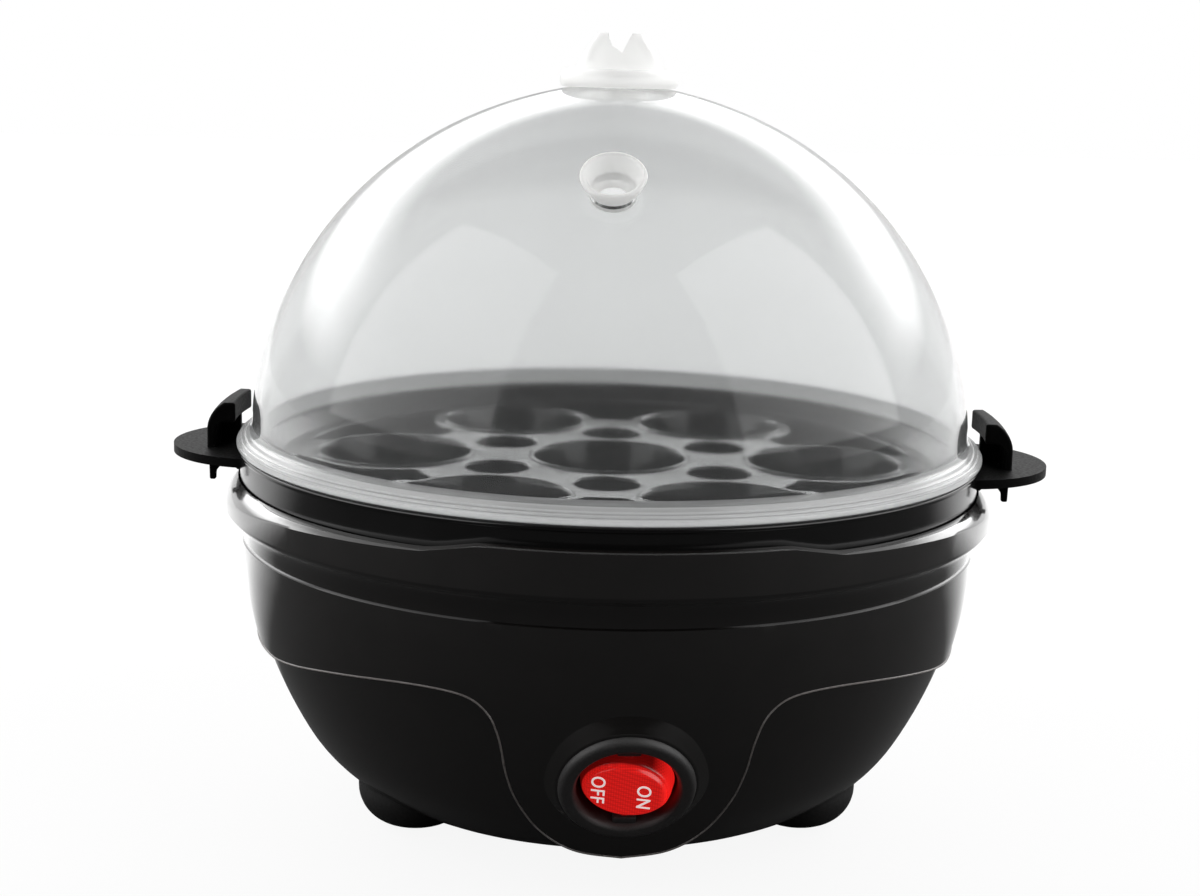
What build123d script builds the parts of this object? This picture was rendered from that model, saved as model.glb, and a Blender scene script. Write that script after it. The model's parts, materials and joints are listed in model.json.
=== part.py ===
from build123d import *
import math
import os

# Electric egg cooker: a round black base with a heated water pan, an egg tray
# with two side wings that lifts out, a clear dome, and a lit rocker switch.
# Millimetres. +Z is up, the origin is on the table under the middle of the base,
# and the switch faces -Y.

# Base shell
BASE_BOTTOM = 3.0
FLOOR_TOP = 5.6
BOWL_WALL = 2.4
RIM_RADIUS = 81.2
RIM_HEIGHT = 65.8
RIM_TOP = 70.3
LIP_TOP = 72.8
SEAT_RADIUS = 78.3
SKIRT_SEAT = 62.6
PAN_LEDGE = 59.5
APRON_TOP = 57.6

# Feet and the cover underneath
FOOT_X = 40.0
FOOT_Y = 23.0
FOOT_RADIUS = 12.0
PEG_RADIUS = 2.4
COVER_RADIUS = 33.0
COVER_THICKNESS = 1.4
COVER_SCREW_RING = 30.5
SMALL_SCREW = 1.2

# Heated pan, its seal and the screws that hold it down
PAN_RADIUS = 74.5
PAN_FLOOR = 50.0
PAN_THICKNESS = 1.2
SEAL_THICKNESS = 1.2
COLUMN_RING = 46.0
COLUMN_COUNT = 3
COLUMN_RADIUS = 4.4
PAN_SCREW = 1.5
BOSS_DEPTH = 4.3
PAN_SCREW_SEAT = 34.0

# Heating element below the pan
PLATE_UNDERSIDE = PAN_FLOOR - PAN_THICKNESS
ELEMENT_RING = 30.0
ELEMENT_TUBE = 3.2
ELEMENT_GAP = 18
ELEMENT_CENTRE = PLATE_UNDERSIDE - ELEMENT_TUBE
ELEMENT_END = ELEMENT_CENTRE - 11.0
CLAMP_TOP = ELEMENT_CENTRE - ELEMENT_TUBE
CLAMP_THICKNESS = 1.2
STUD_RADIUS = 2.0
NUT_HEIGHT = 3.0
THERMOSTAT_Y = -16.0

# Cord entry at the back
CORD_HEIGHT = 24.0
CORD_BORE = 3.3
GLAND_RADIUS = 5.2
GLAND_FLANGE = 8.0
GLAND_SEAT = 70.0
CLAMP_Y = 41.0
CLAMP_SCREW_X = 9.0
CLAMP_FOOT = 19.8
BLOCK_Y = 32.0
BLOCK_BORE = 10.0
POLE_PITCH = 5.5
WIRE_RADIUS = 1.1

# Rocker switch
SWITCH_HEIGHT = 25.5
SWITCH_REACH = 71.2
SWITCH_TILT = 25
SWITCH_BARREL = 10.1
SWITCH_CAVITY = 9.4
CAVITY_DEPTH = 14.0
BEZEL_RADIUS = 12.8
BEZEL_BACK = -0.5
BOSS_RADIUS = 13.3
BEZEL_FRONT = 1.0
TERMINAL_PITCH = 6.0
TERMINAL_TAIL = 8.0
ROCKER_REST = -9
ROCKER_PIVOT = -2.0
ROCKER_FACE = 3.1
TRUNNION_RADIUS = 1.2
PIVOT_FIT = 0.05
BLADE_REST = 7
BLADE_PIVOT = -11.2
BLADE_THICKNESS = 0.8
BLADE_ROLL = 1.15

# Egg tray
TRAY_TURN = -4.6
TRAY_TOP = 73.0
TRAY_THICKNESS = 1.6
TRAY_RIM_TOP = 76.4
SKIRT_RADIUS = 77.9
SKIRT_INNER = 76.2
SKIRT_BOTTOM = 62.9
EGG_COUNT = 6
EGG_RING = 46.0
EGG_RADIUS = 15.9
EGG_CUP_DEPTH = 14.0
EGG_CUP_TAPER = 12
CUP_WALL = 1.3
STEAM_RING = 26.6
STEAM_RADIUS = 6.5
GAP_OUTER = 67.0
GAP_INNER = 43.2
WEB_RADIUS = 19.3
WING_TIP = 93.2
WING_RADIUS = 20.7
WING_THICKNESS = 1.9
WING_TOP = 74.5
POST_INNER = 79.1
POST_OUTER = 85.0
POST_TOP = 84.0
POST_HALF_ANGLE = 6.5
LEG_OFFSET = 14.0

# Lid
FLANGE_BOTTOM = 76.7
FLANGE_RADIUS = 78.56
DOME_MIDDLE = 73.6
DOME_RADIUS = 76.9
DOME_WALL = 1.6
DOME_TOP = 152.0
VENT_ELEVATION = 51
VENT_HEIGHT = 3.5
VENT_TUBE = 4.4
KNOB_TOP = 161.8
KNOB_RADIUS = 12.3
KNOB_PEG = 3.0

os.makedirs("parts", exist_ok=True)


def upright(angle):
    """An upright plane through the axis, with x pointing outwards at this angle."""
    turn = math.radians(angle)
    outwards = Vector(math.cos(turn), math.sin(turn), 0)
    return Plane((0, 0, 0), x_dir=outwards, z_dir=outwards.cross(Vector(0, 0, 1)))


def tray_plane(height):
    """A level plane at this height, turned with the tray."""
    turn = math.radians(TRAY_TURN)
    return Plane((0, 0, height), x_dir=(math.cos(turn), math.sin(turn), 0), z_dir=(0, 0, 1))


# In the switch's plane x is across the switch, y is up the slope and z is out of the front.
tilt = math.radians(SWITCH_TILT)
switch_normal = Vector(0, -math.cos(tilt), -math.sin(tilt))
switch_plane = Plane((0, -SWITCH_REACH, SWITCH_HEIGHT), x_dir=(1, 0, 0), z_dir=switch_normal)
switch_section = Plane(switch_plane.origin, x_dir=(1, 0, 0), z_dir=-switch_plane.y_dir)
switch_axis = Axis(switch_plane.origin, switch_normal)


def inside_switch(depth, tilt_angle=0):
    """The switch's plane moved out by depth, then tilted about its upright line."""
    lean = math.radians(tilt_angle)
    across = switch_plane.x_dir * math.cos(lean) - switch_plane.z_dir * math.sin(lean)
    outwards = switch_plane.z_dir * math.cos(lean) + switch_plane.x_dir * math.sin(lean)
    return Plane(switch_plane.offset(depth).origin, x_dir=across, z_dir=outwards)


# Outline of the bowl from its bottom edge up to the rim, as a solid body
with BuildPart() as bowl_solid:
    with BuildSketch(Plane.XZ):
        with BuildLine():
            Line((0, BASE_BOTTOM), (45.2, BASE_BOTTOM))
            ThreePointArc((45.2, BASE_BOTTOM), (57.4, 9.1), (65.2, 18.3))
            ThreePointArc((65.2, 18.3), (73.2, 36.6), (77.1, 55.0))
            Line((77.1, 55.0), (77.4, 58.0))
            Line((77.4, 58.0), (RIM_RADIUS, RIM_HEIGHT - 1.6))
            Line((RIM_RADIUS, RIM_HEIGHT - 1.6), (RIM_RADIUS, RIM_HEIGHT))
            ThreePointArc((RIM_RADIUS, RIM_HEIGHT), (80.1, 67.9), (SEAT_RADIUS, RIM_TOP))
            Line((SEAT_RADIUS, RIM_TOP), (0, RIM_TOP))
            Line((0, RIM_TOP), (0, BASE_BOTTOM))
        make_face()
    revolve(axis=Axis.Z)

# What is cut out of the bowl: the tray's seat, the pan's ledge and the hollow
with BuildPart() as bowl_hollow:
    with BuildSketch(Plane.XZ):
        with BuildLine():
            Line((0, LIP_TOP + 1), (SEAT_RADIUS, LIP_TOP + 1))
            Line((SEAT_RADIUS, LIP_TOP + 1), (SEAT_RADIUS, SKIRT_SEAT))
            Line((SEAT_RADIUS, SKIRT_SEAT), (74.9, SKIRT_SEAT))
            Line((74.9, SKIRT_SEAT), (74.9, PAN_LEDGE))
            Line((74.9, PAN_LEDGE), (71.6, PAN_LEDGE))
            Line((71.6, PAN_LEDGE), (71.6, PAN_LEDGE - 2.0))
            Line((71.6, PAN_LEDGE - 2.0), (74.6, 53.5))
            ThreePointArc((74.6, 53.5), (70.9, 37.0), (63.0, 19.4))
            ThreePointArc((63.0, 19.4), (55.6, 10.9), (44.4, FLOOR_TOP))
            Line((44.4, FLOOR_TOP), (0, FLOOR_TOP))
            Line((0, FLOOR_TOP), (0, LIP_TOP + 1))
        make_face()
    revolve(axis=Axis.Z)

# The upper shell stands proud of the bowl. Its edge, seen from the front, dips
# round the switch like an apron.
APRON_SHAPE = [
    (77.8, APRON_TOP), (77.3, 52.0), (76.0, 43.0), (73.6, 33.0), (70.6, SWITCH_HEIGHT),
    (65.8, 15.0), (61.6, 6.6),
]
APRON_FOOT = 6.6
APRON_EDGE = [
    (86, 31.8), (68.5, 37.1), (56, 40.9), (42, 43.2), (31, 43.0), (26, 40.0), (23.6, 34.5),
    (22.2, 27.0), (20.0, 20.6), (15.5, 14.0), (9.0, 9.7),
]
APRON_LOWEST = 8.2
BACK_EDGE = 34.6
HOLLOW_SHRINK = 0.88


def apron_blank(inset):
    """The body of revolution that the upper shell is cut from."""
    with BuildPart() as blank:
        with BuildSketch(Plane.XZ):
            with BuildLine():
                edge = Spline([(r - inset, z) for r, z in APRON_SHAPE])
                Polyline(edge @ 1, (0, APRON_FOOT), (0, APRON_TOP), edge @ 0)
            make_face()
        revolve(axis=Axis.Z)
    return blank.part


def apron_limits(inset):
    """All the space above the apron's edge, at the front and at the back."""
    narrow = HOLLOW_SHRINK if inset else 1.0
    right = [(x * narrow, z + inset) for x, z in APRON_EDGE]
    left = [(-x, z) for x, z in reversed(right)]
    top = APRON_TOP - 2 * inset
    with BuildPart() as limits:
        with BuildSketch(Plane.XZ):
            with BuildLine():
                border = Spline(right + [(0, APRON_LOWEST + inset)] + left)
                Polyline(border @ 1, ((border @ 1).X, top), ((border @ 0).X, top), border @ 0)
            make_face()
        extrude(amount=90)
        with BuildSketch(Plane.XZ):
            with BuildLine():
                low = BACK_EDGE + inset
                Polyline((-90, low), (90, low), (90, top), (-90, top), close=True)
            make_face()
        extrude(amount=-90)
    return limits.part


apron = apron_blank(0) & apron_limits(0)
apron_hollow = apron_blank(BOWL_WALL) & apron_limits(BOWL_WALL)

# The front of the rim rises to a lip. This is its outline seen from the front.
LIP_RISE = [(28.0, LIP_TOP), (38.6, 70.7), (55.0, 70.0), (66.5, 69.2), (76.0, 67.4), (82.0, 65.2)]
with BuildPart() as front_lip:
    with BuildSketch(Plane.XZ):
        with BuildLine():
            Polyline((SEAT_RADIUS, 64.4), (RIM_RADIUS, 64.4), (RIM_RADIUS, LIP_TOP - 0.6),
                     (RIM_RADIUS - 0.6, LIP_TOP), (SEAT_RADIUS + 0.8, LIP_TOP),
                     (SEAT_RADIUS, LIP_TOP - 0.8), close=True)
        make_face()
    revolve(axis=Axis.Z)
    with BuildSketch(Plane.XZ):
        with BuildLine():
            left_rise = [(-x, z) for x, z in LIP_RISE]
            Polyline((82.0, 64.0), *reversed(LIP_RISE), *left_rise, (-82.0, 64.0), close=True)
        make_face()
    extrude(amount=90, mode=Mode.INTERSECT)

with BuildPart() as base_shell:
    add(bowl_solid.part)
    add(apron)
    add(front_lip.part)
    # A flat seat for the cord gland at the back
    with BuildSketch(Plane.XZ.offset(-GLAND_SEAT)):
        with Locations((0, CORD_HEIGHT)):
            Circle(GLAND_FLANGE + 1.5)
    extrude(amount=14.0)
    with BuildSketch(Plane.XZ.offset(-GLAND_SEAT)):
        with Locations((0, CORD_HEIGHT)):
            Circle(GLAND_FLANGE + 0.3)
    extrude(amount=-8.0, mode=Mode.SUBTRACT)
    add(bowl_hollow.part, mode=Mode.SUBTRACT)
    add(apron_hollow, mode=Mode.SUBTRACT)
    # Columns that carry the pan
    with BuildSketch(Plane.XY.offset(FLOOR_TOP - 0.4)):
        with PolarLocations(COLUMN_RING, COLUMN_COUNT):
            Circle(COLUMN_RADIUS)
    extrude(amount=PLATE_UNDERSIDE - BOSS_DEPTH - FLOOR_TOP + 0.4)
    # Bosses for the cover's screws
    with BuildSketch(Plane.XY.offset(FLOOR_TOP - 0.4)):
        with PolarLocations(COVER_SCREW_RING, 3, start_angle=30):
            Circle(3.2)
    extrude(amount=7.0)
    # The pad that the cord clamp screws down on
    with BuildSketch(Plane.XY.offset(FLOOR_TOP - 0.4)):
        with Locations((0, CLAMP_Y)):
            Rectangle(24.0, 8.0)
    extrude(amount=CLAMP_FOOT - FLOOR_TOP + 0.4)
    # The opening under the base, the recess for its cover and the cover's screw holes
    with BuildSketch(Plane.XY.offset(BASE_BOTTOM)):
        Circle(COVER_RADIUS + 0.2)
    extrude(amount=COVER_THICKNESS, mode=Mode.SUBTRACT)
    with BuildSketch(Plane.XY.offset(BASE_BOTTOM)):
        Circle(COVER_RADIUS - 6.0)
    extrude(amount=4.0, mode=Mode.SUBTRACT)
    with BuildSketch(Plane.XY.offset(BASE_BOTTOM)):
        with PolarLocations(COVER_SCREW_RING, 3, start_angle=30):
            Circle(SMALL_SCREW)
    extrude(amount=8.0, mode=Mode.SUBTRACT)
    # Deep holes up the columns for the pan's screws
    with BuildSketch(Plane.XY):
        with PolarLocations(COLUMN_RING, COLUMN_COUNT):
            Circle(3.1)
    extrude(amount=PAN_SCREW_SEAT, mode=Mode.SUBTRACT)
    with BuildSketch(Plane.XY):
        with PolarLocations(COLUMN_RING, COLUMN_COUNT):
            Circle(PAN_SCREW + 0.2)
    extrude(amount=PAN_FLOOR, mode=Mode.SUBTRACT)
    # Sockets for the pegs of the feet
    with BuildSketch(Plane.XY):
        with GridLocations(2 * FOOT_X, 2 * FOOT_Y, 2, 2):
            Circle(PEG_RADIUS)
    extrude(amount=9.0, mode=Mode.SUBTRACT)
    # A boss with a flat seat for the switch's bezel, and the hole for its barrel
    with BuildSketch(switch_plane.offset(BEZEL_BACK)):
        Circle(BOSS_RADIUS)
    extrude(amount=-5.0)
    with BuildSketch(switch_plane.offset(BEZEL_BACK)):
        Circle(BEZEL_RADIUS + 0.15)
    extrude(amount=8.0, mode=Mode.SUBTRACT)
    with BuildSketch(switch_plane):
        Circle(SWITCH_BARREL + 0.1)
    extrude(amount=-14.0, mode=Mode.SUBTRACT)
    # Holes for the gland and for the clamp's screws
    with BuildSketch(Plane.XZ.offset(-80.0)):
        with Locations((0, CORD_HEIGHT)):
            Circle(GLAND_RADIUS)
    extrude(amount=24.0, mode=Mode.SUBTRACT)
    with BuildSketch(Plane.XY.offset(CLAMP_FOOT)):
        with Locations((-CLAMP_SCREW_X, CLAMP_Y), (CLAMP_SCREW_X, CLAMP_Y)):
            Circle(1.1)
    extrude(amount=-8.0, mode=Mode.SUBTRACT)
base_shell.part.label = "base_shell"
export_step(base_shell.part, "parts/base_shell.step")

# Feet: rounded blocks moulded to the underside of the bowl
with BuildPart() as rubber_feet:
    with BuildSketch(Plane.XY):
        with GridLocations(2 * FOOT_X, 2 * FOOT_Y, 2, 2):
            Circle(FOOT_RADIUS)
    extrude(amount=16.0)
    fillet(rubber_feet.faces().group_by(Axis.Z)[0].edges(), radius=8.0)
    add(bowl_solid.part, mode=Mode.SUBTRACT)
    with BuildSketch(Plane.XY.offset(BASE_BOTTOM - 0.2)):
        with GridLocations(2 * FOOT_X, 2 * FOOT_Y, 2, 2):
            Circle(PEG_RADIUS)
    extrude(amount=6.0)
rubber_feet.part.label = "rubber_feet"
export_step(rubber_feet.part, "parts/rubber_feet.step")

# Bottom cover with vent slots
with BuildPart() as bottom_cover:
    with BuildSketch(Plane.XY.offset(BASE_BOTTOM)):
        Circle(COVER_RADIUS)
        with GridLocations(0, 7.0, 1, 5):
            SlotOverall(28.0, 3.0, mode=Mode.SUBTRACT)
        with PolarLocations(COVER_SCREW_RING, 3, start_angle=30):
            Circle(SMALL_SCREW + 0.2, mode=Mode.SUBTRACT)
    extrude(amount=COVER_THICKNESS)
bottom_cover.part.label = "bottom_cover"
export_step(bottom_cover.part, "parts/bottom_cover.step")

with BuildPart() as cover_screws:
    with BuildSketch(Plane.XY.offset(BASE_BOTTOM - 1.2)):
        with PolarLocations(COVER_SCREW_RING, 3, start_angle=30):
            Circle(2 * SMALL_SCREW)
    extrude(amount=1.2)
    chamfer(cover_screws.faces().group_by(Axis.Z)[0].edges(), length=0.5)
    with BuildSketch(Plane.XY.offset(BASE_BOTTOM - 1.2)):
        with PolarLocations(COVER_SCREW_RING, 3, start_angle=30):
            Circle(SMALL_SCREW)
    extrude(amount=8.4)
cover_screws.part.label = "cover_screws"
export_step(cover_screws.part, "parts/cover_screws.step")

# The pan that the water boils in, with three bosses and a stud below
with BuildPart() as heating_plate:
    with BuildSketch(Plane.XZ):
        with BuildLine():
            Line((0, PAN_FLOOR + 1.0), (12.0, PAN_FLOOR + 1.0))
            Line((12.0, PAN_FLOOR + 1.0), (16.0, PAN_FLOOR))
            Line((16.0, PAN_FLOOR), (60.0, PAN_FLOOR))
            ThreePointArc((60.0, PAN_FLOOR), (67.4, 53.6), (71.0, 60.8))
            Line((71.0, 60.8), (71.0, PAN_LEDGE + 2.4))
            Line((71.0, PAN_LEDGE + 2.4), (PAN_RADIUS, PAN_LEDGE + 2.4))
            Line((PAN_RADIUS, PAN_LEDGE + 2.4), (PAN_RADIUS, PAN_LEDGE + SEAL_THICKNESS))
            Line((PAN_RADIUS, PAN_LEDGE + SEAL_THICKNESS), (71.4, PAN_LEDGE + SEAL_THICKNESS))
            ThreePointArc((71.4, PAN_LEDGE + SEAL_THICKNESS), (68.4, 52.8), (60.6, PLATE_UNDERSIDE))
            Line((60.6, PLATE_UNDERSIDE), (0, PLATE_UNDERSIDE))
            Line((0, PLATE_UNDERSIDE), (0, PAN_FLOOR + 1.0))
        make_face()
    revolve(axis=Axis.Z)
    with BuildSketch(Plane.XY.offset(PLATE_UNDERSIDE + 0.4)):
        with PolarLocations(COLUMN_RING, COLUMN_COUNT):
            Circle(COLUMN_RADIUS - 0.8)
    extrude(amount=-(BOSS_DEPTH + 0.4))
    with BuildSketch(Plane.XY.offset(PLATE_UNDERSIDE - BOSS_DEPTH)):
        with PolarLocations(COLUMN_RING, COLUMN_COUNT):
            Circle(PAN_SCREW)
    extrude(amount=BOSS_DEPTH - 0.3, mode=Mode.SUBTRACT)
    with BuildSketch(Plane.XY.offset(CLAMP_TOP - CLAMP_THICKNESS - NUT_HEIGHT - 0.6)):
        Circle(STUD_RADIUS)
    extrude(amount=PAN_FLOOR - CLAMP_TOP + CLAMP_THICKNESS + NUT_HEIGHT)
heating_plate.part.label = "heating_plate"
export_step(heating_plate.part, "parts/heating_plate.step")

with BuildPart() as pan_seal:
    with BuildSketch(Plane.XY.offset(PAN_LEDGE)):
        Circle(PAN_RADIUS + 0.2)
        Circle(71.8, mode=Mode.SUBTRACT)
    extrude(amount=SEAL_THICKNESS)
pan_seal.part.label = "pan_seal"
export_step(pan_seal.part, "parts/pan_seal.step")

with BuildPart() as pan_screws:
    with BuildSketch(Plane.XY.offset(PAN_SCREW_SEAT)):
        with PolarLocations(COLUMN_RING, COLUMN_COUNT):
            Circle(2.8)
    extrude(amount=-3.0)
    with BuildSketch(Plane.XY.offset(PAN_SCREW_SEAT)):
        with PolarLocations(COLUMN_RING, COLUMN_COUNT):
            Circle(PAN_SCREW)
    extrude(amount=13.4)
pan_screws.part.label = "pan_screws"
export_step(pan_screws.part, "parts/pan_screws.step")

# Tubular heating element: an open ring with two cold ends turned down
half_gap = math.radians(ELEMENT_GAP)
end_x = ELEMENT_RING * math.sin(half_gap)
end_y = ELEMENT_RING * math.cos(half_gap)
with BuildPart() as heating_element:
    with BuildLine() as element_path:
        CenterArc((0, 0, ELEMENT_CENTRE), ELEMENT_RING, 90 + ELEMENT_GAP, 360 - 2 * ELEMENT_GAP)
    with BuildSketch(Plane(element_path.line @ 0, z_dir=element_path.line % 0)):
        Circle(ELEMENT_TUBE)
    sweep()
    with BuildSketch(Plane.XY.offset(ELEMENT_CENTRE)):
        with Locations((-end_x, end_y), (end_x, end_y)):
            Circle(2.4)
    extrude(amount=ELEMENT_END - ELEMENT_CENTRE)
heating_element.part.label = "heating_element"
export_step(heating_element.part, "parts/heating_element.step")

# Strap that clamps the element and the thermostat against the pan
with BuildPart() as element_clamp:
    with BuildSketch(Plane.XY.offset(CLAMP_TOP)):
        RectangleRounded(72.0, 12.0, 4.0)
        with Locations((0, -12.0)):
            RectangleRounded(14.0, 30.0, 4.0)
        Circle(STUD_RADIUS + 0.1, mode=Mode.SUBTRACT)
    extrude(amount=-CLAMP_THICKNESS)
element_clamp.part.label = "element_clamp"
export_step(element_clamp.part, "parts/element_clamp.step")

with BuildPart() as clamp_nut:
    with BuildSketch(Plane.XY.offset(CLAMP_TOP - CLAMP_THICKNESS)):
        RegularPolygon(2 * STUD_RADIUS, 6)
        Circle(STUD_RADIUS, mode=Mode.SUBTRACT)
    extrude(amount=-NUT_HEIGHT)
clamp_nut.part.label = "clamp_nut"
export_step(clamp_nut.part, "parts/clamp_nut.step")

# Bimetal thermostat with a tab on each side
with BuildPart() as thermostat:
    with BuildSketch(Plane.XY.offset(PLATE_UNDERSIDE)):
        with Locations((0, THERMOSTAT_Y)):
            Circle(7.6)
    extrude(amount=CLAMP_TOP - PLATE_UNDERSIDE)
    with BuildSketch(Plane.XY.offset(CLAMP_TOP + 3.0)):
        with Locations((0, THERMOSTAT_Y)):
            Rectangle(26.0, 4.0)
    extrude(amount=0.8)
thermostat.part.label = "thermostat"
export_step(thermostat.part, "parts/thermostat.step")

# Thermal fuse in its sleeve, hung on its wires
FUSE_X = -26.0
FUSE_Y = 12.0
FUSE_HEIGHT = 34.0
FUSE_LENGTH = 12.0
FUSE_RADIUS = 2.0
with BuildPart() as thermal_fuse:
    with BuildSketch(Plane.YZ.offset(FUSE_X)):
        with Locations((FUSE_Y, FUSE_HEIGHT)):
            Circle(FUSE_RADIUS)
    extrude(amount=FUSE_LENGTH)
thermal_fuse.part.label = "thermal_fuse"
export_step(thermal_fuse.part, "parts/thermal_fuse.step")

with BuildPart() as fuse_sleeve:
    with BuildSketch(Plane.YZ.offset(FUSE_X - 2.0)):
        with Locations((FUSE_Y, FUSE_HEIGHT)):
            Circle(FUSE_RADIUS + 0.8)
            Circle(FUSE_RADIUS, mode=Mode.SUBTRACT)
    extrude(amount=FUSE_LENGTH + 4.0)
fuse_sleeve.part.label = "fuse_sleeve"
export_step(fuse_sleeve.part, "parts/fuse_sleeve.step")

# Cord gland in the back wall, bored for a round flexible cord
with BuildPart() as cord_gland:
    with BuildSketch(Plane.XZ.offset(-56.0)):
        with Locations((0, CORD_HEIGHT)):
            Circle(GLAND_RADIUS)
    extrude(amount=-15.0)
    with BuildSketch(Plane.XZ.offset(-GLAND_SEAT)):
        with Locations((0, CORD_HEIGHT)):
            Circle(GLAND_FLANGE)
    extrude(amount=-2.4)
    fillet(cord_gland.faces().group_by(Axis.Y)[-1].edges(), radius=0.8)
    with BuildSketch(Plane.XZ.offset(-56.0)):
        with Locations((0, CORD_HEIGHT)):
            Circle(CORD_BORE)
    extrude(amount=-18.0, mode=Mode.SUBTRACT)
cord_gland.part.label = "cord_gland"
export_step(cord_gland.part, "parts/cord_gland.step")

# Saddle that clamps the cord inside the base
with BuildPart() as cord_clamp:
    with BuildSketch(Plane.XZ.offset(-CLAMP_Y)):
        with BuildLine():
            saddle_top = CORD_HEIGHT + 6.0
            ear_top = CLAMP_FOOT + 3.0
            crown = CORD_HEIGHT + 3.2
            Polyline((-12.0, CLAMP_FOOT), (-12.0, ear_top), (-6.5, ear_top), (-6.5, saddle_top),
                     (6.5, saddle_top), (6.5, ear_top), (12.0, ear_top), (12.0, CLAMP_FOOT),
                     (3.6, CLAMP_FOOT), (3.6, CORD_HEIGHT), (2.2, crown), (-2.2, crown),
                     (-3.6, CORD_HEIGHT), (-3.6, CLAMP_FOOT), close=True)
        make_face()
    extrude(amount=3.0, both=True)
    with BuildSketch(Plane.XY.offset(CLAMP_FOOT)):
        with Locations((-CLAMP_SCREW_X, CLAMP_Y), (CLAMP_SCREW_X, CLAMP_Y)):
            Circle(1.3)
    extrude(amount=6.0, mode=Mode.SUBTRACT)
cord_clamp.part.label = "cord_clamp"
export_step(cord_clamp.part, "parts/cord_clamp.step")

with BuildPart() as clamp_screws:
    with BuildSketch(Plane.XY.offset(CLAMP_FOOT + 3.0)):
        with Locations((-CLAMP_SCREW_X, CLAMP_Y), (CLAMP_SCREW_X, CLAMP_Y)):
            Circle(2.2)
    extrude(amount=1.6)
    with BuildSketch(Plane.XY.offset(CLAMP_FOOT + 4.0)):
        with Locations((-CLAMP_SCREW_X, CLAMP_Y), (CLAMP_SCREW_X, CLAMP_Y)):
            Circle(1.1)
    extrude(amount=-10.0)
clamp_screws.part.label = "clamp_screws"
export_step(clamp_screws.part, "parts/clamp_screws.step")

# Rocker switch: a barrel with its bezel, and a bearing each side for the rocker
with BuildPart() as switch_housing:
    with BuildSketch(switch_section):
        with BuildLine():
            barrel_end = -CAVITY_DEPTH - 1.5
            Polyline((0, barrel_end), (SWITCH_BARREL, barrel_end), (SWITCH_BARREL, BEZEL_BACK),
                     (BEZEL_RADIUS, BEZEL_BACK), (BEZEL_RADIUS, 0), (BEZEL_RADIUS - 0.9, BEZEL_FRONT),
                     (SWITCH_BARREL, BEZEL_FRONT), (SWITCH_CAVITY, -0.2),
                     (SWITCH_CAVITY, -CAVITY_DEPTH), (0, -CAVITY_DEPTH), close=True)
        make_face()
    revolve(axis=switch_axis)
    with BuildSketch(inside_switch(ROCKER_PIVOT + 1.8)):
        Rectangle(4.4, 2 * SWITCH_CAVITY + 0.6)
        Rectangle(4.4, 16.1, mode=Mode.SUBTRACT)
    extrude(amount=-4.2)
    with BuildSketch(Plane(inside_switch(ROCKER_PIVOT).origin, x_dir=(1, 0, 0), z_dir=switch_plane.y_dir)):
        Circle(TRUNNION_RADIUS + PIVOT_FIT)
    extrude(amount=SWITCH_CAVITY - 0.1, both=True, mode=Mode.SUBTRACT)
    with BuildSketch(inside_switch(-CAVITY_DEPTH + 0.5)):
        with Locations((-TERMINAL_PITCH, 0), (0, 0), (TERMINAL_PITCH, 0)):
            Rectangle(0.8, 5.0)
    extrude(amount=-4.0, mode=Mode.SUBTRACT)
switch_housing.part.label = "switch_housing"
export_step(switch_housing.part, "parts/switch_housing.step")

# The outer terminals end at the floor of the barrel; the middle one carries the contact
with BuildPart() as switch_terminals:
    with BuildSketch(inside_switch(-CAVITY_DEPTH - TERMINAL_TAIL)):
        with Locations((-TERMINAL_PITCH, 0), (TERMINAL_PITCH, 0)):
            Rectangle(0.8, 5.0)
    extrude(amount=TERMINAL_TAIL + 0.6)
    with BuildSketch(inside_switch(-CAVITY_DEPTH - TERMINAL_TAIL)):
        Rectangle(0.8, 5.0)
    extrude(amount=TERMINAL_TAIL + CAVITY_DEPTH + BLADE_PIVOT - BLADE_THICKNESS - 0.4)
switch_terminals.part.label = "switch_terminals"
export_step(switch_terminals.part, "parts/switch_terminals.step")

# A small neon lamp stands on the floor of the barrel, clear of the moving parts
with BuildPart() as switch_lamp:
    with BuildSketch(inside_switch(-CAVITY_DEPTH)):
        with Locations((-6.0, 4.8)):
            Circle(1.5)
    extrude(amount=7.5)
switch_lamp.part.label = "switch_lamp"
export_step(switch_lamp.part, "parts/switch_lamp.step")

# Rocker cap on its two trunnions, at rest with its left end pressed in
rocker_plane = inside_switch(ROCKER_PIVOT, ROCKER_REST)
with BuildPart() as rocker_cap:
    with BuildSketch(rocker_plane.offset(-1.5)):
        Ellipse(8.8, 7.6)
    with BuildSketch(rocker_plane.offset(ROCKER_FACE)):
        Ellipse(7.85, 6.2)
    loft()
    with BuildSketch(Plane(rocker_plane.origin, x_dir=rocker_plane.x_dir, z_dir=rocker_plane.y_dir)):
        Circle(TRUNNION_RADIUS)
    extrude(amount=SWITCH_CAVITY - 0.5, both=True)
rocker_cap.part.label = "rocker_cap"
export_step(rocker_cap.part, "parts/rocker_cap.step")

with BuildPart() as rocker_pin:
    with BuildSketch(rocker_plane.offset(-1.5)):
        Circle(1.3)
    extrude(amount=-7.2)
    fillet(rocker_pin.edges().group_by(Axis(rocker_plane.origin, rocker_plane.z_dir))[0], radius=0.6)
rocker_pin.part.label = "rocker_pin"
export_step(rocker_pin.part, "parts/rocker_pin.step")

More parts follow.
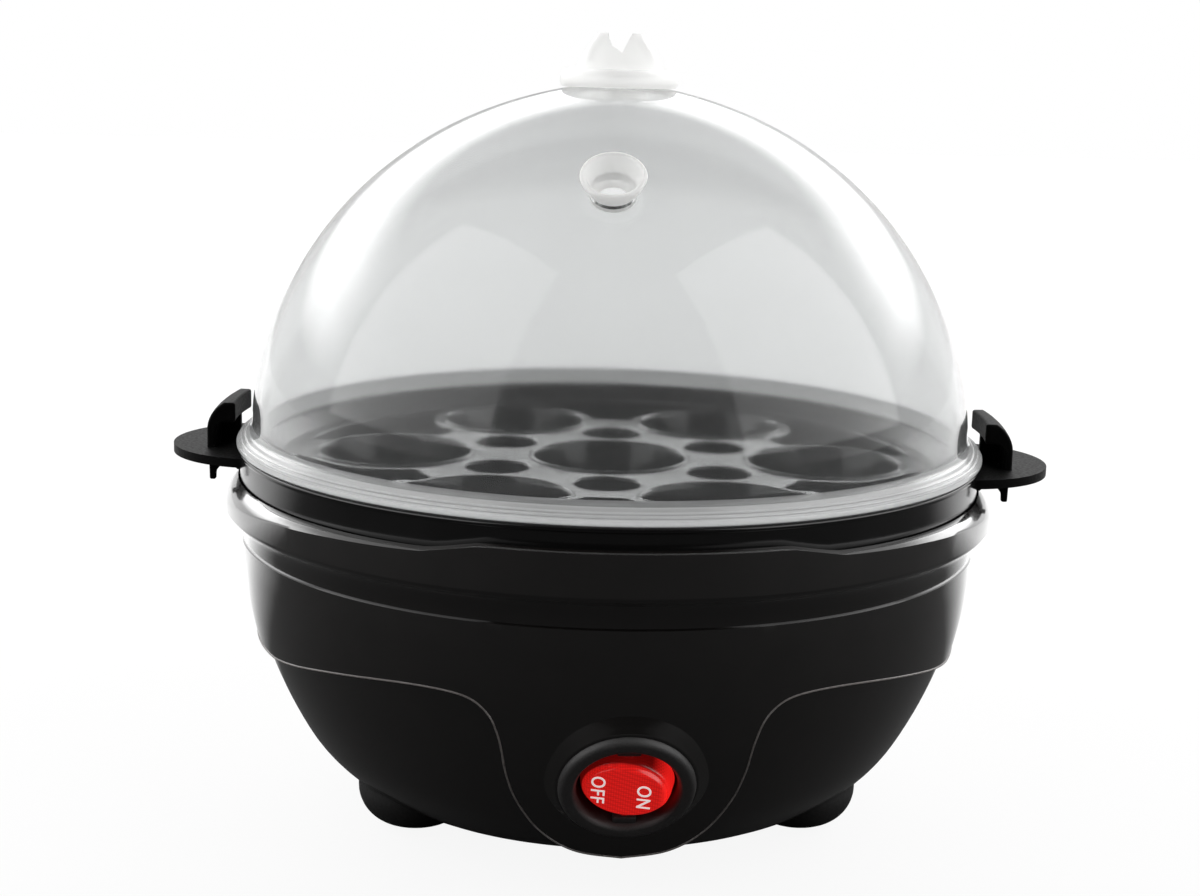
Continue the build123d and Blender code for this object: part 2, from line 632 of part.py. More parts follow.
# The see-saw contact under the pin, tilted the other way from the rocker. Its back has a
# half-round rib that rocks on the end of the middle terminal.
blade_plane = inside_switch(BLADE_PIVOT, BLADE_REST)
with BuildPart() as contact_blade:
    with BuildSketch(blade_plane):
        Rectangle(13.0, 4.0)
    extrude(amount=-BLADE_THICKNESS)
    with BuildSketch(Plane(blade_plane.origin, x_dir=blade_plane.x_dir, z_dir=blade_plane.y_dir)):
        Circle(BLADE_ROLL)
        Rectangle(3.0, 3.0, align=(Align.CENTER, Align.MAX), mode=Mode.SUBTRACT)
    extrude(amount=2.0, both=True)
contact_blade.part.label = "contact_blade"
export_step(contact_blade.part, "parts/contact_blade.step")

# Connector block where the cord's conductors meet the wires
with BuildPart() as terminal_block:
    block_top = FLOOR_TOP + 8.8
    with BuildSketch(Plane.XY.offset(FLOOR_TOP)):
        with Locations((0, BLOCK_Y)):
            Rectangle(18.0, 8.0)
    extrude(amount=block_top - FLOOR_TOP)
    with BuildSketch(Plane.XZ.offset(-BLOCK_Y)):
        with Locations((-POLE_PITCH, BLOCK_BORE), (0, BLOCK_BORE), (POLE_PITCH, BLOCK_BORE)):
            Circle(WIRE_RADIUS + 0.2)
    extrude(amount=4.0, both=True, mode=Mode.SUBTRACT)
    with BuildSketch(Plane.XY.offset(block_top)):
        with Locations((-POLE_PITCH, BLOCK_Y), (0, BLOCK_Y), (POLE_PITCH, BLOCK_Y)):
            Circle(0.9)
    extrude(amount=BLOCK_BORE - block_top, mode=Mode.SUBTRACT)
terminal_block.part.label = "terminal_block"
export_step(terminal_block.part, "parts/terminal_block.step")


def behind(side, distance):
    """A point straight behind one of the switch's terminals."""
    tail = inside_switch(-CAVITY_DEPTH - TERMINAL_TAIL)
    point = tail.from_local_coords((TERMINAL_PITCH * side, 0, -distance))
    return (point.X, point.Y, point.Z)


def wire_on(bend, points):
    """A wire on straight runs joined by bends."""
    with BuildPart() as strand:
        with BuildLine() as route:
            FilletPolyline(*points, radius=bend)
        with BuildSketch(Plane(route.line @ 0, z_dir=route.line % 0)):
            Circle(WIRE_RADIUS)
        sweep()
    return strand.part


wire_start = BLOCK_Y - 1.0
tab_level = CLAMP_TOP + 3.0

live_wire = wire_on(4.0, [(-POLE_PITCH, wire_start, BLOCK_BORE), (-POLE_PITCH, 6.0, BLOCK_BORE),
                   (-18.0, -24.0, 20.0), behind(-1, 5.0), behind(-1, 0)])
live_wire.label = "live_wire"
export_step(live_wire, "parts/live_wire.step")

lamp_wire = wire_on(4.0, [(0, wire_start, BLOCK_BORE), (0, 6.0, BLOCK_BORE),
                   (18.0, -24.0, 20.0), behind(1, 5.0), behind(1, 0)])
lamp_wire.label = "lamp_wire"
export_step(lamp_wire, "parts/lamp_wire.step")

neutral_wire = wire_on(2.5, [(POLE_PITCH, wire_start, BLOCK_BORE), (POLE_PITCH, 14.0, BLOCK_BORE),
                   (end_x, 20.0, 20.0), (end_x, end_y, 26.0), (end_x, end_y, ELEMENT_END)])
neutral_wire.label = "neutral_wire"
export_step(neutral_wire, "parts/neutral_wire.step")

switched_wire = wire_on(2.5, [behind(0, 0), behind(0, 5.0), (0, -34.0, 37.5), (-11.0, -24.0, 37.5),
                   (-11.0, THERMOSTAT_Y, 39.0), (-11.0, THERMOSTAT_Y, tab_level)])
switched_wire.label = "switched_wire"
export_step(switched_wire, "parts/switched_wire.step")

thermostat_wire = wire_on(2.5, [(11.0, THERMOSTAT_Y, tab_level), (11.0, THERMOSTAT_Y, FUSE_HEIGHT),
                   (2.0, 4.0, 32.0), (-4.0, FUSE_Y, FUSE_HEIGHT),
                   (FUSE_X + FUSE_LENGTH, FUSE_Y, FUSE_HEIGHT)])
thermostat_wire.label = "thermostat_wire"
export_step(thermostat_wire, "parts/thermostat_wire.step")

element_wire = wire_on(2.5, [(FUSE_X, FUSE_Y, FUSE_HEIGHT), (FUSE_X - 8.0, FUSE_Y, FUSE_HEIGHT),
                   (-30.0, 24.0, 28.0), (-end_x, end_y, 26.0), (-end_x, end_y, ELEMENT_END)])
element_wire.label = "element_wire"
export_step(element_wire, "parts/element_wire.step")

# One gap between two outer egg cups, with rounded corners
GAP_CORNER = 2.2
with BuildSketch() as gap:
    Circle(GAP_OUTER)
    Circle(GAP_INNER, mode=Mode.SUBTRACT)
    with PolarLocations(EGG_RING, EGG_COUNT):
        Circle(WEB_RADIUS, mode=Mode.SUBTRACT)
    with BuildLine():
        Polyline((0, 0), (90, 4.0), (90, 90), (40, 90), close=True)
    make_face(mode=Mode.INTERSECT)
    offset(amount=-GAP_CORNER, mode=Mode.REPLACE)
gap_opening = offset(gap.sketch, amount=GAP_CORNER)
gap_collar = offset(gap.sketch, amount=GAP_CORNER + 1.0)

# Egg tray: a plate with seven cups and vents, a skirt below and a wing each side
with BuildPart() as egg_tray:
    with BuildSketch(Plane.XZ):
        with BuildLine():
            Polyline((0, TRAY_TOP), (70.2, TRAY_TOP), (73.6, TRAY_RIM_TOP), (78.2, TRAY_RIM_TOP),
                     (78.2, TRAY_RIM_TOP - 0.9), (SKIRT_RADIUS, TRAY_RIM_TOP - 1.2),
                     (SKIRT_RADIUS, SKIRT_BOTTOM), (SKIRT_INNER, SKIRT_BOTTOM),
                     (SKIRT_INNER, TRAY_RIM_TOP - 1.6), (74.2, TRAY_RIM_TOP - 1.6),
                     (70.9, TRAY_TOP - TRAY_THICKNESS), (0, TRAY_TOP - TRAY_THICKNESS), close=True)
        make_face()
    revolve(axis=Axis.Z)
    # Cups for the eggs
    with BuildSketch(tray_plane(TRAY_TOP - 0.4)):
        Circle(EGG_RADIUS + CUP_WALL)
        with PolarLocations(EGG_RING, EGG_COUNT):
            Circle(EGG_RADIUS + CUP_WALL)
    extrude(amount=EGG_CUP_DEPTH - 0.4, dir=(0, 0, -1), taper=EGG_CUP_TAPER)
    # Collars below the round vents and the long gaps
    with BuildSketch(tray_plane(TRAY_TOP - 0.4)):
        with PolarLocations(STEAM_RING, EGG_COUNT, start_angle=30):
            Circle(STEAM_RADIUS + 1.0)
        with PolarLocations(0, EGG_COUNT):
            add(gap_collar)
    extrude(amount=-4.2)
    with BuildSketch(tray_plane(TRAY_TOP)):
        with PolarLocations(STEAM_RING, EGG_COUNT, start_angle=30):
            Circle(STEAM_RADIUS)
        with PolarLocations(0, EGG_COUNT):
            add(gap_opening)
    extrude(amount=-6.0, mode=Mode.SUBTRACT)
    with BuildSketch(tray_plane(TRAY_TOP)):
        Circle(EGG_RADIUS)
        with PolarLocations(EGG_RING, EGG_COUNT):
            Circle(EGG_RADIUS)
    extrude(amount=EGG_CUP_DEPTH, dir=(0, 0, -1), taper=EGG_CUP_TAPER, mode=Mode.SUBTRACT)
    # Wings to lift the tray by
    with BuildSketch(tray_plane(WING_TOP)):
        with Locations((WING_TIP - WING_RADIUS, 0), (WING_RADIUS - WING_TIP, 0)):
            Circle(WING_RADIUS)
        Circle(SKIRT_RADIUS - 0.8, mode=Mode.SUBTRACT)
    extrude(amount=-WING_THICKNESS)
    wing_level = WING_TOP - 0.5
    for wing_angle in (TRAY_TURN, TRAY_TURN + 180):
        # A hooded post on each wing stands beside the dome
        with BuildSketch(upright(wing_angle - POST_HALF_ANGLE)):
            with BuildLine():
                Line((POST_INNER, POST_TOP), (81.4, POST_TOP))
                ThreePointArc((81.4, POST_TOP), (84.0, 81.6), (POST_OUTER, 77.6))
                Line((POST_OUTER, 77.6), (POST_OUTER, wing_level))
                Line((POST_OUTER, wing_level), (83.2, wing_level))
                Line((83.2, wing_level), (83.2, 77.4))
                ThreePointArc((83.2, 77.4), (82.5, 79.2), (81.2, 79.8))
                Line((81.2, 79.8), (POST_INNER, 79.8))
                Line((POST_INNER, 79.8), (POST_INNER, POST_TOP))
            make_face()
        revolve(axis=Axis.Z, revolution_arc=2 * POST_HALF_ANGLE)
        # A thin rib under the hood
        with BuildSketch(upright(wing_angle)):
            with BuildLine():
                Polyline((POST_INNER, wing_level), (83.6, wing_level), (83.6, 79.4), (81.2, 80.4),
                         (POST_INNER, 80.4), close=True)
            make_face()
        extrude(amount=0.8, both=True)
        # Two webs below the wing, with legs that straddle the rim of the base
        for shift in (-LEG_OFFSET, LEG_OFFSET):
            with BuildSketch(upright(wing_angle).offset(shift)):
                with BuildLine():
                    Polyline((74.8, 73.4), (74.8, 71.0), (77.2, 71.0), (77.6, 71.6), (78.6, 72.0),
                             (80.6, 71.8), (81.6, 70.6), (81.7, 68.8), (82.9, 68.8), (83.0, 73.4),
                             close=True)
                make_face()
            extrude(amount=0.75, both=True)
egg_tray.part.label = "egg_tray"
export_step(egg_tray.part, "parts/egg_tray.step")

# Clear dome. It is very nearly a ball, a little drawn in near its flange.
DOME_SHAPE = [
    (75.4, 80.6), (73.8, 93.3), (66.4, 111.8), (54.4, 127.9), (38.6, 140.3), (20.1, 148.4), (0, DOME_TOP),
]


def dome_body(inset, bottom):
    """A solid dome, or with an inset the space inside its wall."""
    shrink = 1 - inset / DOME_RADIUS
    outline = [(r * shrink, DOME_MIDDLE + (z - DOME_MIDDLE) * shrink) for r, z in DOME_SHAPE]
    with BuildPart() as body:
        with BuildSketch(Plane.XZ):
            with BuildLine():
                curve = Spline(outline)
                Polyline(curve @ 1, (0, bottom), ((curve @ 0).X, bottom), curve @ 0)
            make_face()
        revolve(axis=Axis.Z)
    return body.part


dome_outside = dome_body(0, FLANGE_BOTTOM)
dome_inside = dome_body(DOME_WALL, FLANGE_BOTTOM - 1.0)

vent_heading = math.radians(TRAY_TURN - 90)
vent_level = math.radians(VENT_ELEVATION)
vent_out = Vector(math.cos(vent_heading) * math.cos(vent_level),
                  math.sin(vent_heading) * math.cos(vent_level), math.sin(vent_level))
vent_across = Vector(-math.sin(vent_heading), math.cos(vent_heading), 0)
vent_plane = Plane(Vector(0, 0, DOME_MIDDLE) + vent_out * DOME_RADIUS, x_dir=vent_across, z_dir=vent_out)

with BuildPart() as lid_dome:
    add(dome_outside)
    with BuildSketch(Plane.XZ):
        with BuildLine():
            Polyline((74.2, FLANGE_BOTTOM), (FLANGE_RADIUS, FLANGE_BOTTOM), (FLANGE_RADIUS, 78.2),
                     (78.2, 78.6), (76.6, 79.0), (76.3, 79.5), (75.3, 80.2), (74.2, 80.2), close=True)
        make_face()
    revolve(axis=Axis.Z)
    add(dome_inside, mode=Mode.SUBTRACT)
    with BuildSketch(vent_plane):
        Circle(VENT_TUBE)
    extrude(amount=6.0, both=True, mode=Mode.SUBTRACT)
    with BuildSketch(Plane.XY.offset(DOME_TOP)):
        Circle(KNOB_PEG)
    extrude(amount=6.0, both=True, mode=Mode.SUBTRACT)
lid_dome.part.label = "lid_dome"
export_step(lid_dome.part, "parts/lid_dome.step")

# Steam vent: a short flared spout set square to the dome
with BuildPart() as steam_vent:
    with BuildSketch(vent_plane.offset(-1.0)):
        Circle(4.4)
    with BuildSketch(vent_plane.offset(VENT_HEIGHT)):
        Circle(6.25)
    loft()
    add(dome_outside, mode=Mode.SUBTRACT)
    with BuildSketch(vent_plane.offset(0.8)):
        Circle(VENT_TUBE)
    extrude(amount=-3.4)
    with BuildSketch(vent_plane.offset(-3.0)):
        Circle(3.0)
    with BuildSketch(vent_plane.offset(VENT_HEIGHT)):
        Circle(5.2)
    loft(mode=Mode.SUBTRACT)
steam_vent.part.label = "steam_vent"
export_step(steam_vent.part, "parts/steam_vent.step")

# Knob: a rounded disc with a notched crown and a peg through the dome
with BuildPart() as lid_knob:
    with BuildSketch(Plane.XY.offset(149.6)):
        Circle(KNOB_RADIUS)
    extrude(amount=4.9)
    fillet(lid_knob.faces().sort_by(Axis.Z)[-1].edges(), radius=1.9)
    with BuildSketch(tray_plane(153.0)):
        Ellipse(9.2, 7.0)
    with BuildSketch(tray_plane(KNOB_TOP)):
        Ellipse(4.4, 3.4)
    loft()
    with BuildSketch(upright(TRAY_TURN)):
        with BuildLine():
            Polyline((-2.4, KNOB_TOP + 0.5), (-1.6, KNOB_TOP - 2.8), (0.4, KNOB_TOP - 4.0),
                     (2.8, KNOB_TOP + 0.5), close=True)
        make_face()
    extrude(amount=8.0, both=True, mode=Mode.SUBTRACT)
    add(dome_outside, mode=Mode.SUBTRACT)
    with BuildSketch(Plane.XY.offset(147.0)):
        Circle(KNOB_PEG)
    extrude(amount=6.0)
lid_knob.part.label = "lid_knob"
export_step(lid_knob.part, "parts/lid_knob.step")

with BuildPart() as knob_clip:
    with BuildSketch(Plane.XY.offset(148.2)):
        Circle(2 * KNOB_PEG)
        Circle(KNOB_PEG, mode=Mode.SUBTRACT)
    extrude(amount=1.5)
knob_clip.part.label = "knob_clip"
export_step(knob_clip.part, "parts/knob_clip.step")
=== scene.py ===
import json
import math

import bmesh
import bpy
from bpy.props import FloatProperty, FloatVectorProperty, IntProperty, PointerProperty
from mathutils import Matrix, Quaternion, Vector

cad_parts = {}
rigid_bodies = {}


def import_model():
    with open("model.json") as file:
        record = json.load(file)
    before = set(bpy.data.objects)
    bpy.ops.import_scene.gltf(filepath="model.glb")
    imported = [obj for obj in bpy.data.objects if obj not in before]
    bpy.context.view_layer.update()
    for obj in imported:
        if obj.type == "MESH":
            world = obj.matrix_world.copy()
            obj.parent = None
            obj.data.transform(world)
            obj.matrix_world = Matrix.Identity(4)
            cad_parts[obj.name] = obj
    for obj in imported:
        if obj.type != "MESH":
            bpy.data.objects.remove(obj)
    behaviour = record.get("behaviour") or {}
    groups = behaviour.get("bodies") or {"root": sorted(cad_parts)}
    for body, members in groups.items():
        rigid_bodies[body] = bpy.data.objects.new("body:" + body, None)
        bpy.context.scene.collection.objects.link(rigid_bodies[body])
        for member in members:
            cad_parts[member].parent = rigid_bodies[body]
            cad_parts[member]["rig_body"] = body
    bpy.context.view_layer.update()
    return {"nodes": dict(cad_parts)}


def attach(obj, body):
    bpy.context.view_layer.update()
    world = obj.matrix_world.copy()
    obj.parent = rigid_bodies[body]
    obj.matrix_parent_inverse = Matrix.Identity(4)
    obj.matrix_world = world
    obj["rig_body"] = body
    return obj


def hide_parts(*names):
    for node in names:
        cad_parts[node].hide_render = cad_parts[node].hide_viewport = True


bl_info = {
    "name": "Egg Cooker",
    "version": (1, 0, 0),
    "blender": (4, 5, 0),
    "location": "View3D > Sidebar > Egg Cooker",
    "description": "Builds the visible pieces of an electric egg cooker on its packed frame",
    "category": "Add Mesh",
}

# The frame is loaded first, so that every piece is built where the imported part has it.
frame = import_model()

MM = 0.001

# Sections of the turned pieces as radius and height, in millimetres.
BOWL_FLOOR = [(27, 4.4), (33.2, 4.4), (33.2, 3), (45.2, 3)]
BOWL_LOWER_ARC = [(45.2, 3), (57.4, 9.1), (65.2, 18.3)]
BOWL_UPPER_ARC = [(65.2, 18.3), (73.2, 36.6), (77.1, 55)]
BOWL_NECK = [(77.3, 57.4), (78.1, 60), (79.4, 62.3), (80.7, 63.7), (81.15, 64.5)]
BOWL_SEAT = [(78.3, 62.6), (74.9, 62.6), (74.9, 59.5), (71.6, 59.5), (71.6, 57.5), (74.6, 53.5)]
BOWL_INNER_ARC = [(74.6, 53.5), (70.9, 37), (63, 19.4)]
BOWL_FLOOR_ARC = [(63, 19.4), (55.6, 10.9), (44.4, 5.6)]

# Height of the rim's outer edge against the distance from the middle of the front.
LIP_LINE = [(0, 72.8), (28, 72.8), (38.6, 70.7), (55, 70), (66.5, 69.2), (76, 67.4), (81.2, 65.6)]
RIM_BACK = 65.6

# The upper shell: its section, and its lower edge as seen from the front.
APRON_SECTION = [(61.6, 6.6), (65.8, 15), (70.6, 25.5), (73.6, 33), (76, 43), (77.3, 52), (77.8, 57.6)]
APRON_EDGE = [(0, 8.2), (9, 9.7), (15.5, 14), (20, 20.6), (22.2, 27), (23.6, 34.5), (26, 40),
              (31, 43), (42, 43.2), (56, 40.9), (68.5, 37.1)]
APRON_BACK = 34.6

# Dome: distance from its middle against the angle above the horizon.
DOME_MIDDLE = 73.6
DOME_SHAPE = [(5.3, 75.72), (14.9, 76.38), (29.9, 76.6), (44.9, 76.86), (59.9, 77.06),
              (75, 77.45), (90, 78.4)]


def linear(text):
    """An sRGB hex colour as linear red, green and blue."""
    values = [int(text[i:i + 2], 16) / 255 for i in (1, 3, 5)]
    return tuple(v / 12.92 if v <= 0.04045 else ((v + 0.055) / 1.055) ** 2.4 for v in values)


# Sizes and colours that a user would change


class EggCookerSizes(bpy.types.PropertyGroup):
    turn_steps: IntProperty(
        name="Steps in a turn", description="Facets round the large turned pieces",
        default=192, min=64, max=320)
    rim_radius: FloatProperty(
        name="Rim radius", description="Outer edge of the base's rim",
        default=0.08117, unit="LENGTH")
    seat_radius: FloatProperty(
        name="Seat radius", description="Inside of the rim, where the tray's skirt goes in",
        default=0.0783, unit="LENGTH")
    edge_bead: FloatProperty(
        name="Shell edge", description="Rounding of the upper shell's lower edge",
        default=0.0005, unit="LENGTH")
    egg_ring: FloatProperty(
        name="Egg ring", description="Radius of the circle that the six outer cups stand on",
        default=0.046, unit="LENGTH")
    egg_radius: FloatProperty(
        name="Cup radius", description="Inside of an egg cup at the top",
        default=0.0159, unit="LENGTH")
    vent_radius: FloatProperty(
        name="Tray vent radius", description="Round steam vents between the egg cups",
        default=0.0065, unit="LENGTH")
    tray_turn: FloatProperty(
        name="Tray turn", description="How far the tray and lid are turned on the base",
        default=math.radians(-4.6), subtype="ANGLE")
    wing_reach: FloatProperty(
        name="Wing reach", description="Tip of a wing from the middle of the tray",
        default=0.0932, unit="LENGTH")
    dome_wall: FloatProperty(
        name="Dome wall", description="Thickness of the clear dome",
        default=0.0016, unit="LENGTH")
    switch_tilt: FloatProperty(
        name="Switch tilt", description="How far the switch looks down",
        default=math.radians(25), subtype="ANGLE")
    rocker_tilt: FloatProperty(
        name="Rocker tilt", description="Rest angle of the rocker, with its left end in",
        default=math.radians(9), subtype="ANGLE")


class EggCookerColours(bpy.types.PropertyGroup):
    shell: FloatVectorProperty(
        name="Base", description="Moulded plastic of the base", subtype="COLOR", size=3,
        min=0, max=1, default=linear("#110f0e"))
    tray: FloatVectorProperty(
        name="Tray", description="Moulded plastic of the tray and its wings", subtype="COLOR",
        size=3, min=0, max=1, default=linear("#0c0c0c"))
    trim: FloatVectorProperty(
        name="Switch surround", description="Grained plastic round the switch", subtype="COLOR",
        size=3, min=0, max=1, default=linear("#2a2929"))
    clear: FloatVectorProperty(
        name="Dome", description="Clear plastic of the dome", subtype="COLOR", size=3,
        min=0, max=1, default=linear("#eceded"))
    frosted: FloatVectorProperty(
        name="Knob and vent", description="Frosted plastic of the knob and the steam vent",
        subtype="COLOR", size=3, min=0, max=1, default=linear("#e9e9e8"))
    rocker: FloatVectorProperty(
        name="Rocker", description="Translucent plastic of the lit rocker", subtype="COLOR",
        size=3, min=0, max=1, default=linear("#d41a17"))
    lettering: FloatVectorProperty(
        name="Lettering", description="Ink of the switch markings", subtype="COLOR", size=3,
        min=0, max=1, default=linear("#fbeceb"))
    floor: FloatVectorProperty(
        name="Floor", description="Studio floor", subtype="COLOR", size=3,
        min=0, max=1, default=linear("#303030"))


# Materials


def add_node(tree, kind, inputs=None, **settings):
    """Adds a node with its settings. An input is given a value, or a socket to link from."""
    made = tree.nodes.new(kind)
    for name, value in settings.items():
        setattr(made, name, value)
    for name, value in (inputs or {}).items():
        if isinstance(value, bpy.types.NodeSocket):
            tree.links.new(value, made.inputs[name])
        else:
            made.inputs[name].default_value = value
    return made


def begin_material(name, values):
    """A material with its shader, and Object coordinates to hang a pattern on."""
    material = bpy.data.materials.get(name)
    if material is not None:
        return material, None, None, None
    material = bpy.data.materials.new(name)
    material.use_nodes = True
    tree = material.node_tree
    shader = tree.nodes["Principled BSDF"]
    for socket, value in values.items():
        shader.inputs[socket].default_value = value
    place = add_node(tree, "ShaderNodeTexCoord").outputs["Object"]
    return material, tree, shader, place


def rgba(colour):
    return (*colour, 1.0)


def noise(tree, place, size_mm, detail=2.0):
    """Soft cloudy grain whose features are about this many millimetres across."""
    return add_node(tree, "ShaderNodeTexNoise",
                    {"Vector": place, "Scale": 1000 / size_mm, "Detail": detail}).outputs["Fac"]


def spread(tree, value, low, high, start=0.3, stop=0.7):
    """A value stretched to run between two others."""
    return add_node(tree, "ShaderNodeMapRange",
                    {"Value": value, "From Min": start, "From Max": stop,
                     "To Min": low, "To Max": high}).outputs["Result"]


def raise_bump(tree, shader, height, depth_mm):
    """Bump of this depth, as the mould left it."""
    bump = add_node(tree, "ShaderNodeBump", {"Height": height, "Distance": depth_mm * MM})
    tree.links.new(bump.outputs["Normal"], shader.inputs["Normal"])


def polished_abs():
    """ABS from a polished mould: deep black, glossy, with a faint orange peel."""
    colours = bpy.context.scene.egg_cooker_colours
    material, tree, shader, place = begin_material("abs_polished_black", {
        "IOR": 1.54, "Coat Weight": 1.0, "Coat IOR": 1.65, "Coat Roughness": 0.08})
    if tree is None:
        return material
    # Flow marks from the mould are 9 mm apart and change the gloss a little
    flow = noise(tree, place, 9.0, 3.0)
    peel = noise(tree, place, 1.4, 1.0)
    tint = add_node(tree, "ShaderNodeMixRGB", {
        "Fac": spread(tree, flow, 0.0, 1.0), "Color1": rgba(colours.shell),
        "Color2": rgba(Vector(colours.shell) * 1.35)})
    tree.links.new(tint.outputs["Color"], shader.inputs["Base Color"])
    tree.links.new(spread(tree, flow, 0.17, 0.23), shader.inputs["Roughness"])
    raise_bump(tree, shader, peel, 0.012)
    return material


def satin_polypropylene():
    """Polypropylene of the tray: black with a satin face and faint scuffs."""
    colours = bpy.context.scene.egg_cooker_colours
    material, tree, shader, place = begin_material("polypropylene_satin_black", {
        "IOR": 1.49, "Specular IOR Level": 0.5})
    if tree is None:
        return material
    cloud = noise(tree, place, 12.0, 2.0)
    scuff = noise(tree, place, 0.9, 2.0)
    tint = add_node(tree, "ShaderNodeMixRGB", {
        "Fac": spread(tree, cloud, 0.0, 1.0), "Color1": rgba(colours.tray),
        "Color2": rgba(Vector(colours.tray) * 1.5)})
    tree.links.new(tint.outputs["Color"], shader.inputs["Base Color"])
    tree.links.new(spread(tree, cloud, 0.14, 0.19), shader.inputs["Roughness"])
    raise_bump(tree, shader, scuff, 0.004)
    return material


def grained_polypropylene():
    """Polypropylene from an etched mould, on the wings: nearly matt where fingers hold them."""
    colours = bpy.context.scene.egg_cooker_colours
    material, tree, shader, place = begin_material("polypropylene_grained_black", {
        "Specular IOR Level": 0.04})
    if tree is None:
        return material
    grain = noise(tree, place, 0.6, 2.0)
    tint = add_node(tree, "ShaderNodeMixRGB", {
        "Fac": spread(tree, grain, 0.0, 1.0), "Color1": rgba(colours.tray),
        "Color2": rgba(Vector(colours.tray) * 1.6)})
    tree.links.new(tint.outputs["Color"], shader.inputs["Base Color"])
    tree.links.new(spread(tree, grain, 0.45, 0.6), shader.inputs["Roughness"])
    raise_bump(tree, shader, grain, 0.03)
    return material


def grained_nylon():
    """Nylon from a spark-eroded mould: matt black with a fine sandy grain."""
    colours = bpy.context.scene.egg_cooker_colours
    material, tree, shader, place = begin_material("nylon_grained_black", {
        "IOR": 1.53, "Specular IOR Level": 0.5})
    if tree is None:
        return material
    # The real grain is about 0.1 mm; it is drawn at 0.3 mm so that it shows
    grain = noise(tree, place, 0.3, 2.0)
    tint = add_node(tree, "ShaderNodeMixRGB", {
        "Fac": spread(tree, grain, 0.0, 1.0), "Color1": rgba(colours.trim),
        "Color2": rgba(Vector(colours.trim) * 1.8)})
    tree.links.new(tint.outputs["Color"], shader.inputs["Base Color"])
    tree.links.new(spread(tree, grain, 0.42, 0.6), shader.inputs["Roughness"])
    raise_bump(tree, shader, grain, 0.03)
    return material


def clear_styrene():
    """Clear polystyrene: see-through and glossy, a little hazy from steam and wiping."""
    colours = bpy.context.scene.egg_cooker_colours
    material, tree, shader, place = begin_material("polystyrene_clear", {
        "IOR": 1.49, "Base Color": rgba(colours.clear), "Specular Tint": (0.32, 0.32, 0.32, 1.0)})
    if tree is None:
        return material
    cloud = noise(tree, place, 25.0, 2.0)
    tree.links.new(spread(tree, cloud, 0.935, 0.945), shader.inputs["Transmission Weight"])
    tree.links.new(spread(tree, cloud, 0.04, 0.07), shader.inputs["Roughness"])
    return material


def milky_styrene():
    """The thick moulded flange of the dome, milky, with a painted glow from its emission that stands in
    for light scattering in it.
    """
    colours = bpy.context.scene.egg_cooker_colours
    material, tree, shader, place = begin_material("polystyrene_milky", {
        "IOR": 1.49, "Base Color": rgba(Vector(colours.clear) * 0.58), "Emission Strength": 0.12,
        "Emission Color": rgba(colours.clear)})
    if tree is None:
        return material
    cloud = noise(tree, place, 40.0, 2.0)
    tree.links.new(spread(tree, cloud, 0.48, 0.54), shader.inputs["Transmission Weight"])
    tree.links.new(spread(tree, cloud, 0.14, 0.17), shader.inputs["Roughness"])
    return material


def frosted_polypropylene():
    """Natural polypropylene: white where it is thick, with a soft frosted face and a painted glow from
    its emission.
    """
    colours = bpy.context.scene.egg_cooker_colours
    material, tree, shader, place = begin_material("polypropylene_frosted", {
        "IOR": 1.49, "Base Color": rgba(colours.frosted), "Emission Strength": 0.17,
        "Emission Color": rgba(colours.frosted)})
    if tree is None:
        return material
    frost = noise(tree, place, 0.5, 2.0)
    cloud = noise(tree, place, 5.0, 2.0)
    tree.links.new(spread(tree, cloud, 0.68, 0.76), shader.inputs["Transmission Weight"])
    tree.links.new(spread(tree, frost, 0.35, 0.5), shader.inputs["Roughness"])
    raise_bump(tree, shader, frost, 0.01)
    return material


def lit_polycarbonate():
    """Translucent red polycarbonate whose glow from the lamp behind is emission, with a fine prism
    pattern inside, and painted light and painted shade on its walls.
    """
    colours = bpy.context.scene.egg_cooker_colours
    red = Vector(colours.rocker)
    material, tree, shader, place = begin_material("polycarbonate_lit_red", {
        "IOR": 1.58, "Roughness": 0.22})
    if tree is None:
        return material
    # Painted light: the walls glow strongly at one end across the rocker and weakly elsewhere; the face
    # glows evenly
    seat = switch_frame(-2.0, -bpy.context.scene.egg_cooker_sizes.rocker_tilt)
    across, rise = (add_node(tree, "ShaderNodeVectorMath", {0: place, 1: seat.col[i].xyz},
                             operation="DOT_PRODUCT").outputs["Value"] for i in (0, 2))
    middle, foot = (seat.translation.dot(seat.col[i].xyz) for i in (0, 2))
    wall = spread(tree, across, 0.16, 1.4, middle + 4.5 * MM, middle + 7.5 * MM)
    face = spread(tree, rise, 0.0, 1.0, foot + 1.9 * MM, foot + 2.2 * MM)
    glow = add_node(tree, "ShaderNodeMath", {0: wall, 1: spread(tree, face, 0.0, 0.9, 0.0, 1.0)},
                    operation="MAXIMUM").outputs[0]
    tree.links.new(glow, shader.inputs["Emission Strength"])
    # Prisms 0.45 mm apart spread the lamp's light
    prism = add_node(tree, "ShaderNodeTexVoronoi", {
        "Vector": place, "Scale": 1000 / 0.45, "Randomness": 0.0}, feature="F1").outputs["Distance"]
    tint = add_node(tree, "ShaderNodeMixRGB", {
        "Fac": spread(tree, prism, 0.0, 1.0, 0.1, 0.7), "Color1": rgba(red),
        "Color2": rgba(red * 0.62)})
    # Painted shade: where the glow is weak the red is darkened
    dim = add_node(tree, "ShaderNodeMixRGB", {
        "Fac": glow, "Color1": rgba(red * 0.2), "Color2": tint.outputs["Color"]})
    tree.links.new(dim.outputs["Color"], shader.inputs["Base Color"])
    tree.links.new(tint.outputs["Color"], shader.inputs["Emission Color"])
    return material


